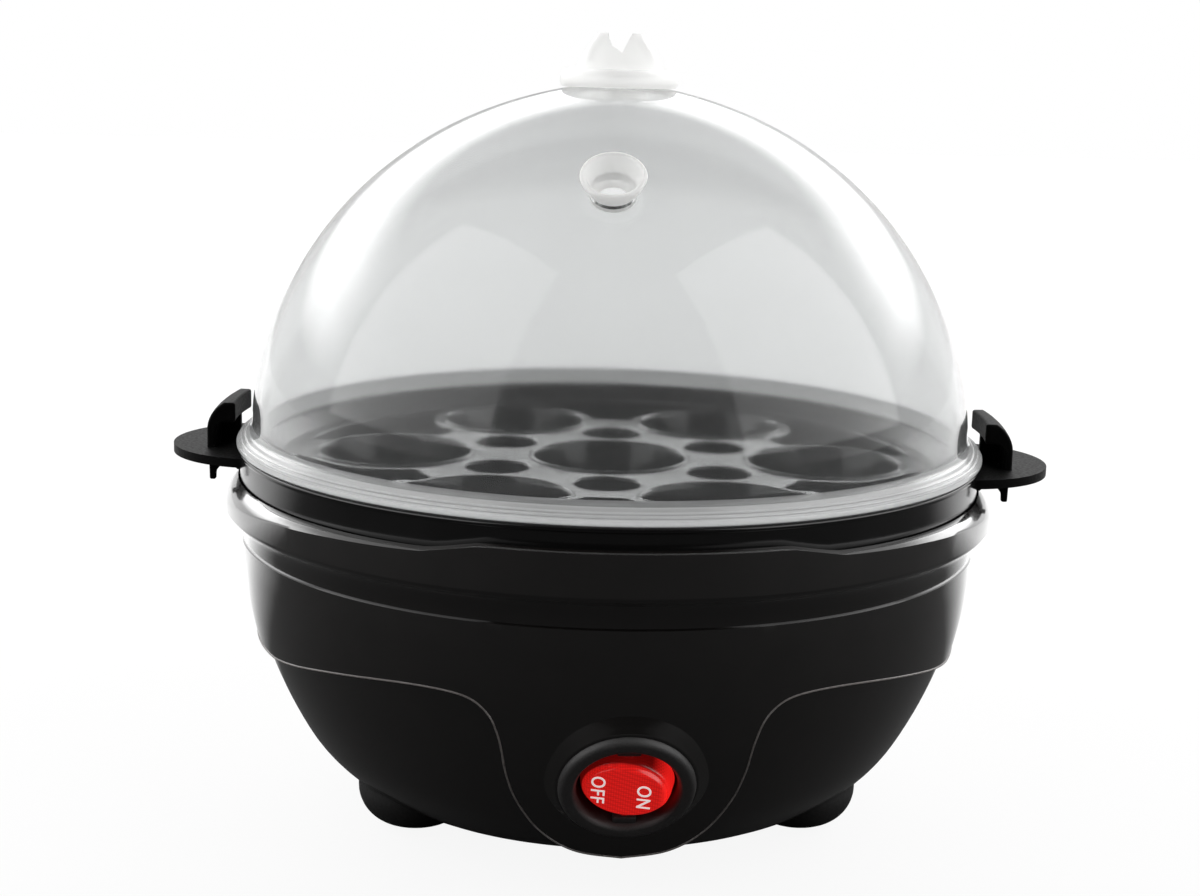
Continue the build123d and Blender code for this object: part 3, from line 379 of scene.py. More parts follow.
def marking_ink():
    """White pad-printing ink, slightly uneven, with a painted glow from its emission."""
    colours = bpy.context.scene.egg_cooker_colours
    material, tree, shader, place = begin_material("pad_print_white", {
        "Emission Strength": 0.55, "Emission Color": rgba(colours.lettering)})
    if tree is None:
        return material
    edge = noise(tree, place, 0.6, 2.0)
    tint = add_node(tree, "ShaderNodeMixRGB", {
        "Fac": spread(tree, edge, 0.0, 1.0), "Color1": rgba(colours.lettering),
        "Color2": rgba(Vector(colours.lettering) * 0.85)})
    tree.links.new(tint.outputs["Color"], shader.inputs["Base Color"])
    tree.links.new(spread(tree, edge, 0.35, 0.5), shader.inputs["Roughness"])
    return material


def plain_finish(name, colour, dark, roughness, grain_mm, depth_mm, metallic=0.0):
    """A finish with two tones and a grain: the colour, its darker tone, gloss and grain size."""
    material, tree, shader, place = begin_material(name, {"Metallic": metallic})
    if tree is None:
        return material
    grain = noise(tree, place, grain_mm, 3.0)
    tint = add_node(tree, "ShaderNodeMixRGB", {
        "Fac": spread(tree, grain, 0.0, 1.0), "Color1": rgba(linear(colour)),
        "Color2": rgba(linear(dark))})
    tree.links.new(tint.outputs["Color"], shader.inputs["Base Color"])
    tree.links.new(spread(tree, grain, roughness * 0.85, roughness * 1.15),
                   shader.inputs["Roughness"])
    raise_bump(tree, shader, grain, depth_mm)
    return material


def spun_aluminium():
    """Aluminium pressed and turned on a lathe: fine rings that catch the light."""
    material, tree, shader, place = begin_material("aluminium_turned", {"Metallic": 1.0})
    if tree is None:
        return material
    # Turning marks 0.6 mm apart
    rings = add_node(tree, "ShaderNodeTexWave", {
        "Vector": place, "Scale": 1000 / 0.6 / 20, "Distortion": 0.6, "Detail": 2.0},
        wave_type="RINGS", rings_direction="Z").outputs["Fac"]
    tint = add_node(tree, "ShaderNodeMixRGB", {
        "Fac": rings, "Color1": rgba(linear("#c9cacb")), "Color2": rgba(linear("#b4b6b8"))})
    tree.links.new(tint.outputs["Color"], shader.inputs["Base Color"])
    tree.links.new(spread(tree, rings, 0.25, 0.38, 0.0, 1.0), shader.inputs["Roughness"])
    raise_bump(tree, shader, rings, 0.01)
    return material


# Shapes


def smooth_line(points, steps=6):
    """A smooth line through the points, with this many steps between two of them."""
    given = [Vector(p) for p in points]
    padded = [given[0] * 2 - given[1], *given, given[-1] * 2 - given[-2]]
    line = []
    for a, b, c, d in zip(padded, padded[1:], padded[2:], padded[3:]):
        for step in range(steps):
            t = step / steps
            line.append((b * 2 + (c - a) * t + (a * 2 - b * 5 + c * 4 - d) * t * t
                         + (b * 3 - a - c * 3 + d) * t ** 3) / 2)
    return [*line, given[-1]]


def arc_through(points, steps):
    """An arc through three points, in this many steps."""
    a, b, c = (Vector(p) for p in points)
    turn = 2 * (a.x * (b.y - c.y) + b.x * (c.y - a.y) + c.x * (a.y - b.y))
    centre = Vector((
        (a.length_squared * (b.y - c.y) + b.length_squared * (c.y - a.y)
         + c.length_squared * (a.y - b.y)) / turn,
        (a.length_squared * (c.x - b.x) + b.length_squared * (a.x - c.x)
         + c.length_squared * (b.x - a.x)) / turn))
    radius = (a - centre).length
    start = math.degrees(math.atan2(a.y - centre.y, a.x - centre.x))
    end = math.degrees(math.atan2(c.y - centre.y, c.x - centre.x))
    return arc(centre, radius, start, end, steps)


def arc(centre, radius, start, end, steps=8):
    """Points on an arc that goes the short way round, with its angles in degrees."""
    sweep = (end - start + 180) % 360 - 180
    angles = [math.radians(start + sweep * i / steps) for i in range(steps + 1)]
    return [Vector((centre[0] + radius * math.cos(t), centre[1] + radius * math.sin(t)))
            for t in angles]


def circle(centre, radius, steps=96):
    """Points round a circle."""
    return [Vector((centre[0] + radius * math.cos(math.tau * i / steps),
                    centre[1] + radius * math.sin(math.tau * i / steps))) for i in range(steps)]


def polar(radius, angle):
    """A point at this distance from the middle and this angle, in degrees."""
    return Vector((radius * math.cos(math.radians(angle)), radius * math.sin(math.radians(angle))))


def along(points, x):
    """Height of a line of points at x."""
    for (x0, z0), (x1, z1) in zip(points, points[1:]):
        if x <= x1:
            return z0 + (z1 - z0) * (x - x0) / (x1 - x0)
    return points[-1][1]


def spun(section, steps, angle=math.tau, start=0.0, closed=True):
    """A section of radius and height in millimetres, spun about the upright axis."""
    bm = bmesh.new()
    verts = [bm.verts.new((r * MM * math.cos(start), r * MM * math.sin(start), z * MM))
             for r, z in section]
    edges = [bm.edges.new(pair) for pair in zip(verts, verts[1:])]
    if closed:
        edges.append(bm.edges.new((verts[-1], verts[0])))
    full = abs(angle - math.tau) < 1e-6
    bmesh.ops.spin(bm, geom=verts + edges, cent=(0, 0, 0), axis=(0, 0, 1), dvec=(0, 0, 0),
                   angle=angle, steps=steps, use_merge=full)
    if not full:
        for end in (0, 1):
            rim = [e for e in bm.edges if e.is_boundary]
            bmesh.ops.holes_fill(bm, edges=rim, sides=0)
    bmesh.ops.remove_doubles(bm, verts=bm.verts, dist=1e-7)
    bmesh.ops.recalc_face_normals(bm, faces=bm.faces)
    return bm


def prism(outline, low, high):
    """A closed outline in millimetres, raised from one height to another."""
    bm = bmesh.new()
    verts = [bm.verts.new((x * MM, y * MM, low * MM)) for x, y in outline]
    face = bm.faces.new(verts)
    raised = bmesh.ops.extrude_face_region(bm, geom=[face])["geom"]
    tops = [v for v in raised if isinstance(v, bmesh.types.BMVert)]
    bmesh.ops.translate(bm, verts=tops, vec=(0, 0, (high - low) * MM))
    bmesh.ops.recalc_face_normals(bm, faces=bm.faces)
    return bm


def round_edges(bm, radius, segments=3, sharpest=35, pick=None):
    """Rounds every edge that is sharper than an angle, or those that are picked."""
    edges = [e for e in bm.edges
             if len(e.link_faces) == 2 and e.calc_face_angle(0) > math.radians(sharpest)
             and (pick is None or pick(e))]
    bmesh.ops.bevel(bm, geom=edges, offset=radius * MM, offset_type="OFFSET", segments=segments,
                    profile=0.5, affect="EDGES", clamp_overlap=True, material=-1)


def joined(parts):
    """Several meshes in one."""
    whole = bmesh.new()
    for part in parts:
        mesh = bpy.data.meshes.new("joining")
        part.to_mesh(mesh)
        part.free()
        whole.from_mesh(mesh)
        bpy.data.meshes.remove(mesh)
    return whole


def repeated(bm, turns):
    """Copies of a mesh, turned about the upright axis by these angles in degrees."""
    mesh = bpy.data.meshes.new("repeating")
    bm.to_mesh(mesh)
    bm.free()
    whole = bmesh.new()
    for turn in turns:
        copy = bmesh.new()
        copy.from_mesh(mesh)
        copy.transform(Matrix.Rotation(math.radians(turn), 4, "Z"))
        turned = bpy.data.meshes.new("turned")
        copy.to_mesh(turned)
        copy.free()
        whole.from_mesh(turned)
        bpy.data.meshes.remove(turned)
    bpy.data.meshes.remove(mesh)
    return whole


def place_piece(bm, name, material, body, replaces=(), sharp=35):
    """Makes a mesh a piece: smooth faces, sharp edges kept, its finish and its body."""
    for face in bm.faces:
        face.smooth = True
    for edge in bm.edges:
        edge.smooth = (len(edge.link_faces) == 2
                       and edge.calc_face_angle(0) < math.radians(sharp))
    mesh = bpy.data.meshes.new(name)
    bm.to_mesh(mesh)
    bm.free()
    mesh.materials.append(material)
    piece = bpy.data.objects.new(name, mesh)
    bpy.context.scene.collection.objects.link(piece)
    # Large flat faces keep their own direction beside their rounded edges
    piece.modifiers.new("Flat faces", "WEIGHTED_NORMAL").keep_sharp = True
    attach(piece, body)
    if replaces:
        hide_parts(*replaces)
    return piece


def carve(bm, cutter, operation="DIFFERENCE"):
    """One mesh cut by another, or joined with it."""
    holders = []
    for part in (bm, cutter):
        mesh = bpy.data.meshes.new("carving")
        part.to_mesh(mesh)
        part.free()
        holder = bpy.data.objects.new("carving", mesh)
        bpy.context.scene.collection.objects.link(holder)
        holders.append(holder)
    step = holders[0].modifiers.new("Carve", "BOOLEAN")
    step.operation = operation
    step.solver = "EXACT"
    step.object = holders[1]
    graph = bpy.context.evaluated_depsgraph_get()
    result = bpy.data.meshes.new_from_object(holders[0].evaluated_get(graph))
    carved = bmesh.new()
    carved.from_mesh(result)
    bpy.data.meshes.remove(result)
    for holder in holders:
        mesh = holder.data
        bpy.data.objects.remove(holder)
        bpy.data.meshes.remove(mesh)
    return carved


def rod(radius, low, high, steps=48, top=None):
    """A round bar on the upright axis, tapered where the top has its own radius."""
    bm = bmesh.new()
    bmesh.ops.create_cone(bm, cap_ends=True, segments=steps, radius1=radius * MM,
                          radius2=(radius if top is None else top) * MM, depth=(high - low) * MM)
    bmesh.ops.translate(bm, verts=bm.verts, vec=(0, 0, (high + low) / 2 * MM))
    return bm


def moved(bm, vec):
    bmesh.ops.translate(bm, verts=bm.verts, vec=Vector(vec) * MM)
    return bm


def plate_with_holes(loops, low, high, rounding):
    """A flat plate cut to outlines, with rounded edges."""
    curve = bpy.data.curves.new("plate", "CURVE")
    curve.dimensions = "2D"
    curve.fill_mode = "BOTH"
    curve.extrude = ((high - low) / 2 - rounding) * MM
    curve.bevel_depth = rounding * MM
    curve.bevel_resolution = 2
    curve.offset = -rounding * MM
    for loop in loops:
        spline = curve.splines.new("POLY")
        spline.points.add(len(loop) - 1)
        for point, (x, y) in zip(spline.points, loop):
            point.co = (x * MM, y * MM, 0, 1)
        spline.use_cyclic_u = True
    holder = bpy.data.objects.new("plate", curve)
    bpy.context.scene.collection.objects.link(holder)
    graph = bpy.context.evaluated_depsgraph_get()
    mesh = bpy.data.meshes.new_from_object(holder.evaluated_get(graph))
    bm = bmesh.new()
    bm.from_mesh(mesh)
    bpy.data.meshes.remove(mesh)
    bpy.data.objects.remove(holder)
    bpy.data.curves.remove(curve)
    bmesh.ops.remove_doubles(bm, verts=bm.verts, dist=2e-6)
    bmesh.ops.recalc_face_normals(bm, faces=bm.faces)
    bmesh.ops.translate(bm, verts=bm.verts, vec=(0, 0, (high + low) / 2 * MM))
    return bm


def cord(points, radius):
    """A closed round cord through points in metres."""
    curve = bpy.data.curves.new("cord", "CURVE")
    curve.dimensions = "3D"
    curve.bevel_depth = radius * MM
    curve.bevel_resolution = 1
    spline = curve.splines.new("POLY")
    spline.points.add(len(points) - 1)
    for point, place in zip(spline.points, points):
        point.co = (*place, 1)
    spline.use_cyclic_u = True
    holder = bpy.data.objects.new("cord", curve)
    bpy.context.scene.collection.objects.link(holder)
    graph = bpy.context.evaluated_depsgraph_get()
    mesh = bpy.data.meshes.new_from_object(holder.evaluated_get(graph))
    bm = bmesh.new()
    bm.from_mesh(mesh)
    bpy.data.meshes.remove(mesh)
    bpy.data.objects.remove(holder)
    bpy.data.curves.remove(curve)
    bmesh.ops.recalc_face_normals(bm, faces=bm.faces)
    return bm


def smooth_copy(node, material):
    """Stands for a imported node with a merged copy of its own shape, smoothly shaded."""
    source = frame["nodes"][node]
    bm = bmesh.new()
    bm.from_mesh(source.data)
    bmesh.ops.remove_doubles(bm, verts=bm.verts, dist=2e-6)
    bmesh.ops.dissolve_degenerate(bm, edges=bm.edges, dist=1e-6)
    return place_piece(bm, node + "_skin", material, source["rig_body"], [node], sharp=28)


def switch_frame(depth=0.0, tilt=0.0):
    """The place of the switch: x across it, y up its slope and z out of its front."""
    sizes = bpy.context.scene.egg_cooker_sizes
    lean = Matrix.Rotation(math.radians(90) + sizes.switch_tilt, 4, "X")
    out = lean @ Matrix.Translation((0, 0, depth * MM)) @ Matrix.Rotation(tilt, 4, "Y")
    return Matrix.Translation((0, -0.0712, 0.0255)) @ out


# Operators, one for each piece or group of pieces


class EGGCOOKER_OT_bowl(bpy.types.Operator):
    """Build the bowl with its rim, which rises to a lip at the front"""

    bl_idname = "eggcooker.bowl"
    bl_label = "Bowl"

    def execute(self, context):
        sizes = context.scene.egg_cooker_sizes
        rim = sizes.rim_radius / MM
        seat = sizes.seat_radius / MM

        def rim_points(edge):
            """The top of the rim where its outer edge is at this height."""
            outer = Vector((rim, edge - 0.4))
            inner = Vector((seat, max(70.3, edge - 0.7)))
            across = (inner - outer).normalized()
            bulge = Vector((-across.y, across.x)) * -1
            if bulge.y < 0:
                bulge = -bulge
            points = [outer]
            for share in (0.15, 0.4, 0.65, 0.88):
                swell = bulge * 0.55 * 4 * share * (1 - share)
                points.append(outer.lerp(inner, share) + swell)
            points.append(inner)
            return points

        back = rim_points(RIM_BACK + 0.4)
        section = [*BOWL_FLOOR[:-1], *arc_through(BOWL_LOWER_ARC, 12)[:-1],
                   *arc_through(BOWL_UPPER_ARC, 16), *smooth_line(BOWL_NECK, 3), *back,
                   *BOWL_SEAT[:-1], *arc_through(BOWL_INNER_ARC, 8)[:-1],
                   *arc_through(BOWL_FLOOR_ARC, 6), (27, 5.6)]
        bowl = spun(section, sizes.turn_steps)
        at = {(round(p.x, 2), round(p.y, 2)): i for i, p in enumerate(back)}
        for vert in bowl.verts:
            radius = Vector(vert.co[:2]).length / MM
            rank = at.get((round(radius, 2), round(vert.co.z / MM, 2)))
            if rank is None or vert.co.y > 0:
                continue
            edge = max(RIM_BACK + 0.4, along(LIP_LINE, abs(vert.co.x / MM) * rim / radius))
            point = rim_points(edge)[rank]
            vert.co.x *= point.x / radius
            vert.co.y *= point.x / radius
            vert.co.z = point.y * MM
        cutters = [rod(10.2, -14, 6)]
        cutters[0].transform(switch_frame())
        gland = rod(5.2, 50, 80)
        gland.transform(Matrix.Translation((0, 0, 0.024)) @ Matrix.Rotation(math.radians(-90), 4, "X"))
        cutters.append(gland)
        for turn in (0, 120, 240):
            spot = polar(46, turn)
            cutters.append(moved(rod(3.1, 0, 8, 24), (spot.x, spot.y, 0)))
        for x in (-40, 40):
            for y in (-23, 23):
                cutters.append(moved(rod(2.45, 0, 9, 24), (x, y, 0)))
        bowl = carve(bowl, joined(cutters))
        place_piece(bowl, "bowl_shell", polished_abs(), "base", ["base_shell"])
        return {"FINISHED"}


class EGGCOOKER_OT_apron(bpy.types.Operator):
    """Build the upper shell, whose edge dips round the switch like an apron"""

    bl_idname = "eggcooker.apron"
    bl_label = "Upper shell"

    def execute(self, context):
        sizes = context.scene.egg_cooker_sizes
        section = [(z, r) for r, z in smooth_line(APRON_SECTION, 8)]

        def on_shell(angle, z):
            """A point of the shell at this angle from the front and this height."""
            radius = along(section, z)
            return Vector((radius * math.sin(angle), -radius * math.cos(angle), z)) * MM

        # The edge as angle from the front against height, then all the way round the back
        edge = [(math.asin(min(1.0, x / along(section, z))), z)
                for x, z in smooth_line(APRON_EDGE, 10)]
        side = edge[-1][0]
        for share in (0.15, 0.35, 0.6, 0.8, 1.0):
            ease = share * share * (3 - 2 * share)
            edge.append((side + (math.pi - side) * share,
                         edge[-1][1] if share > 0.35 else 37.1 + (APRON_BACK - 37.1) * ease / 0.3))
        half = [on_shell(angle, z) for angle, z in edge]
        gone = [0.0]
        for a, b in zip(half, half[1:]):
            gone.append(gone[-1] + (b - a).length)

        def edge_at(share):
            """Angle and height on the edge, from the front at 0 to the back at 1."""
            want = share * gone[-1]
            for i in range(1, len(gone)):
                if want <= gone[i] or i == len(gone) - 1:
                    part = (want - gone[i - 1]) / (gone[i] - gone[i - 1])
                    return (edge[i - 1][0] + (edge[i][0] - edge[i - 1][0]) * part,
                            edge[i - 1][1] + (edge[i][1] - edge[i - 1][1]) * part)

        count = 480
        bm = bmesh.new()
        loops = []
        for top in (False, True):
            loop = bmesh.ops.create_circle(bm, segments=count, radius=1)["verts"]
            for i, vert in enumerate(loop):
                share = i / (count / 2)
                mirror = share > 1
                angle, z = edge_at(2 - share if mirror else share)
                vert.co = on_shell(-angle if mirror else angle, 57.6 if top else z)
            loops.append(loop)
        edges = [e for e in bm.edges]
        sheet = bmesh.ops.bridge_loops(bm, edges=edges)["faces"]
        rails = [e for f in sheet for e in f.edges if e not in set(edges)]
        bmesh.ops.subdivide_edges(bm, edges=list(set(rails)), cuts=18, use_grid_fill=True)
        for vert in bm.verts:
            angle = math.atan2(vert.co.x, -vert.co.y)
            vert.co = on_shell(angle, vert.co.z / MM)
        bmesh.ops.recalc_face_normals(bm, faces=bm.faces)
        middle = bm.faces[:][0]
        if middle.normal.dot(Vector((*middle.calc_center_median()[:2], 0))) < 0:
            bmesh.ops.reverse_faces(bm, faces=bm.faces)
        bmesh.ops.solidify(bm, geom=bm.faces[:], thickness=1.3 * MM)
        bmesh.ops.recalc_face_normals(bm, faces=bm.faces)
        bead = sizes.edge_bead / MM
        round_edges(bm, bead, 3, 50)
        cutter = rod(13.0, -0.6, 8, 96)
        cutter.transform(switch_frame())
        bore = rod(10.2, -14, 2, 96)
        bore.transform(switch_frame())
        bm = carve(bm, cutter)
        bm = carve(bm, bore)
        boss = spun([(10.2, -4), (16.4, -4), (16.6, -3.1), (15.6, -2.3), (14.3, -1.4),
                     (13.4, -0.75), (13.05, -0.5), (10.2, -0.5)], 96)
        boss.transform(switch_frame())
        # A fine bead follows the lower edge; its light grey is a painted highlight, the light line
        # along the edge
        rail = [edge_at(i / 300) for i in range(301)]
        line = cord([on_shell(angle, z) for angle, z in rail]
                    + [on_shell(-angle, z) for angle, z in rail[-2:0:-1]], 0.2)
        place_piece(line, "shell_edge_highlight_bead",
                    plain_finish("abs_painted_edge_highlight", "#7d7876", "#676260", 0.4, 0.8, 0.004),
                    "base", ["base_shell"])
        bm = joined([bm, boss])
        place_piece(bm, "upper_shell", polished_abs(), "base", ["base_shell"], 50)
        return {"FINISHED"}


class EGGCOOKER_OT_columns(bpy.types.Operator):
    """Build the columns and screw bosses inside the base"""

    bl_idname = "eggcooker.columns"
    bl_label = "Columns"

    def execute(self, context):
        column = spun([(3.1, 5.2), (4.4, 5.2), (4.4, 44.5), (1.7, 44.5), (1.7, 34), (3.1, 34)], 32)
        columns = repeated(moved(column, (46, 0, 0)), (0, 120, 240))
        boss = spun([(1.2, 5.2), (3.2, 5.2), (3.2, 12.2), (1.2, 12.2)], 24)
        bosses = repeated(moved(boss, (30.5, 0, 0)), (30, 150, 270))
        pad = prism([(-12, 37), (12, 37), (12, 45), (-12, 45)], 5.2, 19.8)
        round_edges(pad, 0.6)
        place_piece(joined([columns, bosses, pad]), "base_columns", polished_abs(), "base",
                    ["base_shell"])
        seat = spun([(5.2, 70.0), (9.4, 70.0), (9.4, 71.6), (10.2, 69.4), (5.2, 66.0)], 48)
        seat.transform(Matrix.Translation((0, 0, 0.024)) @ Matrix.Rotation(math.radians(-90), 4, "X"))
        place_piece(seat, "gland_seat", polished_abs(), "base", ["base_shell"])
        return {"FINISHED"}


class EGGCOOKER_OT_switch(bpy.types.Operator):
    """Build the round switch surround, the lit rocker and its ON and OFF marks"""

    bl_idname = "eggcooker.switch"
    bl_label = "Switch"

    def execute(self, context):
        sizes = context.scene.egg_cooker_sizes
        section = [(0, -15.5), (10.1, -15.5), (10.1, -0.5), (12.8, -0.5), (12.8, -0.2), (12.6, 0.4),
                   (12.2, 0.85), (11.7, 1.0), (10.4, 1.0), (10.1, 0.85), (9.75, 0.3), (9.4, -0.4),
                   (9.4, -14), (0, -14)]
        housing = spun(section, 128, closed=False)
        bearings = []
        for side in (-1, 1):
            lug = prism([(-2.2, 8.05 * side), (2.2, 8.05 * side), (2.2, 9.5 * side),
                         (-2.2, 9.5 * side)], -4.4, -0.2)
            round_edges(lug, 0.3)
            bearings.append(lug)
        housing = joined([housing, *bearings])
        housing.transform(switch_frame())
        place_piece(housing, "switch_surround", grained_nylon(), "base",
                    ["switch_housing"], 60)

        cap = bmesh.new()
        bmesh.ops.create_circle(cap, cap_ends=True, segments=96, radius=MM)
        bmesh.ops.recalc_face_normals(cap, faces=cap.faces)
        rings = [(8.8, 7.6, -1.5), (8.45, 7.1, 1.0), (8.2, 6.75, 1.9), (8.0, 6.45, 2.15),
                 (7.75, 6.15, 2.15), (7.6, 6.0, 2.35), (7.5, 5.9, 2.9), (7.3, 5.7, 3.08),
                 (6.95, 5.35, 3.1)]
        face = cap.faces[:][0]
        for vert in face.verts:
            vert.co = Vector((vert.co.x * rings[0][0], vert.co.y * rings[0][1], rings[0][2] * MM))
        low = rings[0]
        for ring in rings[1:]:
            raised = bmesh.ops.extrude_face_region(cap, geom=[face])["geom"]
            new = next(g for g in raised if isinstance(g, bmesh.types.BMFace))
            if face.is_valid and face is not cap.faces[:][0]:
                bmesh.ops.delete(cap, geom=[face], context="FACES_ONLY")
            for vert in new.verts:
                vert.co = Vector((vert.co.x * ring[0] / low[0], vert.co.y * ring[1] / low[1],
                                  ring[2] * MM))
            low = ring
            face = new
        bmesh.ops.holes_fill(cap, edges=[e for e in cap.edges if e.is_boundary], sides=0)
        bmesh.ops.recalc_face_normals(cap, faces=cap.faces)
        trunnion = rod(1.2, -8.9, 8.9, 32)
        trunnion.transform(Matrix.Rotation(math.radians(90), 4, "X"))
        cap = joined([cap, trunnion])
        tilt = -sizes.rocker_tilt
        cap.transform(switch_frame(-2.0, tilt))
        place_piece(cap, "rocker_face", lit_polycarbonate(), "rocker",
                    ["rocker_cap"], 50)

        for word, x, y in (("OFF", -5.1, 0.1), ("ON", 3.4, -0.6)):
            text = bpy.data.curves.new("mark", "FONT")
            text.body = word
            text.size = 3.7 * MM
            text.extrude = 0.05 * MM
            text.offset = 0.02 * MM
            text.space_character = 1.12
            text.align_x = "CENTER"
            text.align_y = "CENTER"
            holder = bpy.data.objects.new("mark", text)
            context.scene.collection.objects.link(holder)
            graph = context.evaluated_depsgraph_get()
            mesh = bpy.data.meshes.new_from_object(holder.evaluated_get(graph))
            bm = bmesh.new()
            bm.from_mesh(mesh)
            bpy.data.meshes.remove(mesh)
            bpy.data.objects.remove(holder)
            bpy.data.curves.remove(text)
            bm.transform(switch_frame(-2.0, tilt) @ Matrix.Translation(Vector((x, y, 3.12)) * MM)
                         @ Matrix.Rotation(math.radians(-90), 4, "Z"))
            bmesh.ops.remove_doubles(bm, verts=bm.verts, dist=1e-6)
            place_piece(bm, "mark_" + word.lower(), marking_ink(), "rocker")
        return {"FINISHED"}


class EGGCOOKER_OT_tray(bpy.types.Operator):
    """Build the tray: its plate, seven egg cups, vents, rim, skirt and two wings"""

    bl_idname = "eggcooker.tray"
    bl_label = "Egg tray"

    def execute(self, context):
        sizes = context.scene.egg_cooker_sizes
        ring = sizes.egg_ring / MM
        egg = sizes.egg_radius / MM
        vent = sizes.vent_radius / MM
        turn = Matrix.Rotation(sizes.tray_turn, 4, "Z")
        plastic = satin_polypropylene()
        eggs = [Vector((0, 0)), *(polar(ring, 60 * i) for i in range(6))]
        vents = [polar(26.6, 30 + 60 * i) for i in range(6)]

        def gap(grow):
            """The long gap between the cups at 0 and 60 degrees, made larger by grow."""
            outer, inner, web, corner = 67.0, 43.2, 19.3, 2.2
            reach = web + corner

            def away(radius):
                """Angle from a cup to the middle of a rounded corner."""
                return math.degrees(math.acos((ring ** 2 + radius ** 2 - reach ** 2)
                                              / (2 * ring * radius)))

            out, far, near = Vector((0, 0)), outer - corner, inner + corner
            cups = [polar(ring, 0), polar(ring, 60)]
            a = polar(far, away(far))
            b = polar(far, 60 - away(far))
            c = polar(near, 60 - away(near))
            d = polar(near, away(near))

            def heading(start, end):
                return math.degrees(math.atan2(end.y - start.y, end.x - start.x))

            line = arc(out, outer + grow, away(far), 60 - away(far), 20)
            line += arc(b, corner + grow, 60 - away(far), heading(b, cups[1]), 8)[1:]
            line += arc(cups[1], web - grow, heading(cups[1], b), heading(cups[1], c), 20)[1:]
            line += arc(c, corner + grow, heading(c, cups[1]), 180 + 60 - away(near), 6)[1:]
            line += arc(out, inner - grow, 60 - away(near), away(near), 6)[1:]
            line += arc(d, corner + grow, 180 + away(near), heading(d, cups[0]), 6)[1:]
            line += arc(cups[0], web - grow, heading(cups[0], d), heading(cups[0], a), 20)[1:]
            line += arc(a, corner + grow, heading(a, cups[0]), away(far), 8)[1:-1]
            return line

        def turned_loop(loop, angle):
            return [polar(p.length, math.degrees(math.atan2(p.y, p.x)) + angle) for p in loop]

        loops = [circle((0, 0), 70.8, 180)]
        loops += [circle(spot, egg + 0.8, 96) for spot in eggs]
        loops += [circle(spot, vent, 64) for spot in vents]
        loops += [turned_loop(gap(0), 60 * i) for i in range(6)]
        plate = plate_with_holes(loops, 71.4, 73.0, 0.55)
        plate.transform(turn)
        place_piece(plate, "tray_plate", plastic, "tray", ["egg_tray"], 45)

        slope = math.tan(math.radians(12))
        foot = egg - slope * 13.4
        cup = spun([(egg + 1.5, 72.7), (egg + 1.25, 73.2), (egg + 0.8, 73.4), (egg + 0.35, 73.3),
                    (egg + 0.05, 72.9), (egg - 0.15, 72.2), (foot, 59.1), (foot + 0.3, 59.0),
                    (foot + 1.2, 59.0), (egg + 0.9, 70.6), (egg + 1.2, 72.0)], 96)
        outer_cups = repeated(moved(cup.copy(), (ring, 0, 0)), [60 * i for i in range(6)])
        cups = joined([cup, outer_cups])
        cups.transform(turn)
        place_piece(cups, "egg_cups", plastic, "tray", ["egg_tray"], 60)

        collar = spun([(vent, 68.4), (vent + 1.0, 68.4), (vent + 1.0, 71.9), (vent, 71.9)], 64)
        round_edges(collar, 0.25, 2)
        collars = repeated(moved(collar, (26.6, 0, 0)), [30 + 60 * i for i in range(6)])
        walls = plate_with_holes([gap(1.0), gap(0.0)], 68.4, 71.9, 0.25)
        walls = repeated(walls, [60 * i for i in range(6)])
        collars = joined([collars, walls])
        collars.transform(turn)
        place_piece(collars, "tray_collars", plastic, "tray", ["egg_tray"], 45)

        rim = spun([(70.0, 72.9), (70.6, 73.0), (71.2, 73.4), (73.1, 75.6), (73.6, 76.1), (74.2, 76.4),
                    (77.7, 76.4), (78.1, 76.2), (78.2, 75.9), (78.15, 75.5), (77.9, 75.2), (77.9, 63.2),
                    (77.6, 62.9), (76.5, 62.9), (76.2, 63.2), (76.2, 74.8), (74.2, 74.8),
                    (70.9, 71.4), (70.0, 71.4)], sizes.turn_steps)
        rim.transform(turn)
        place_piece(rim, "tray_rim", plastic, "tray", ["egg_tray"], 50)

        self.wings(sizes, turn)
        return {"FINISHED"}

    def wings(self, sizes, turn):
        """The two wings with their hooded posts, ribs and legs."""
        reach = sizes.wing_reach / MM
        middle = reach - 20.7
        wing = bmesh.new()
        bmesh.ops.create_circle(wing, cap_ends=True, segments=120, radius=20.7 * MM)
        moved(wing, (middle, 0, 72.6))
        for vert in wing.verts:
            flat = Vector(vert.co[:2])
            if flat.length < 77.2 * MM or vert.co.x < 60 * MM:
                spot = polar(77.2, math.degrees(math.atan2(flat.y, max(flat.x, 0.03))))
                vert.co.x, vert.co.y = spot.x * MM, spot.y * MM
        bmesh.ops.remove_doubles(wing, verts=wing.verts, dist=0.2 * MM)
        lifted = bmesh.ops.extrude_face_region(wing, geom=wing.faces[:])["geom"]
        bmesh.ops.translate(wing, verts=[v for v in lifted if isinstance(v, bmesh.types.BMVert)],
                            vec=(0, 0, 1.9 * MM))
        bmesh.ops.recalc_face_normals(wing, faces=wing.faces)
        round_edges(wing, 0.6, 3)

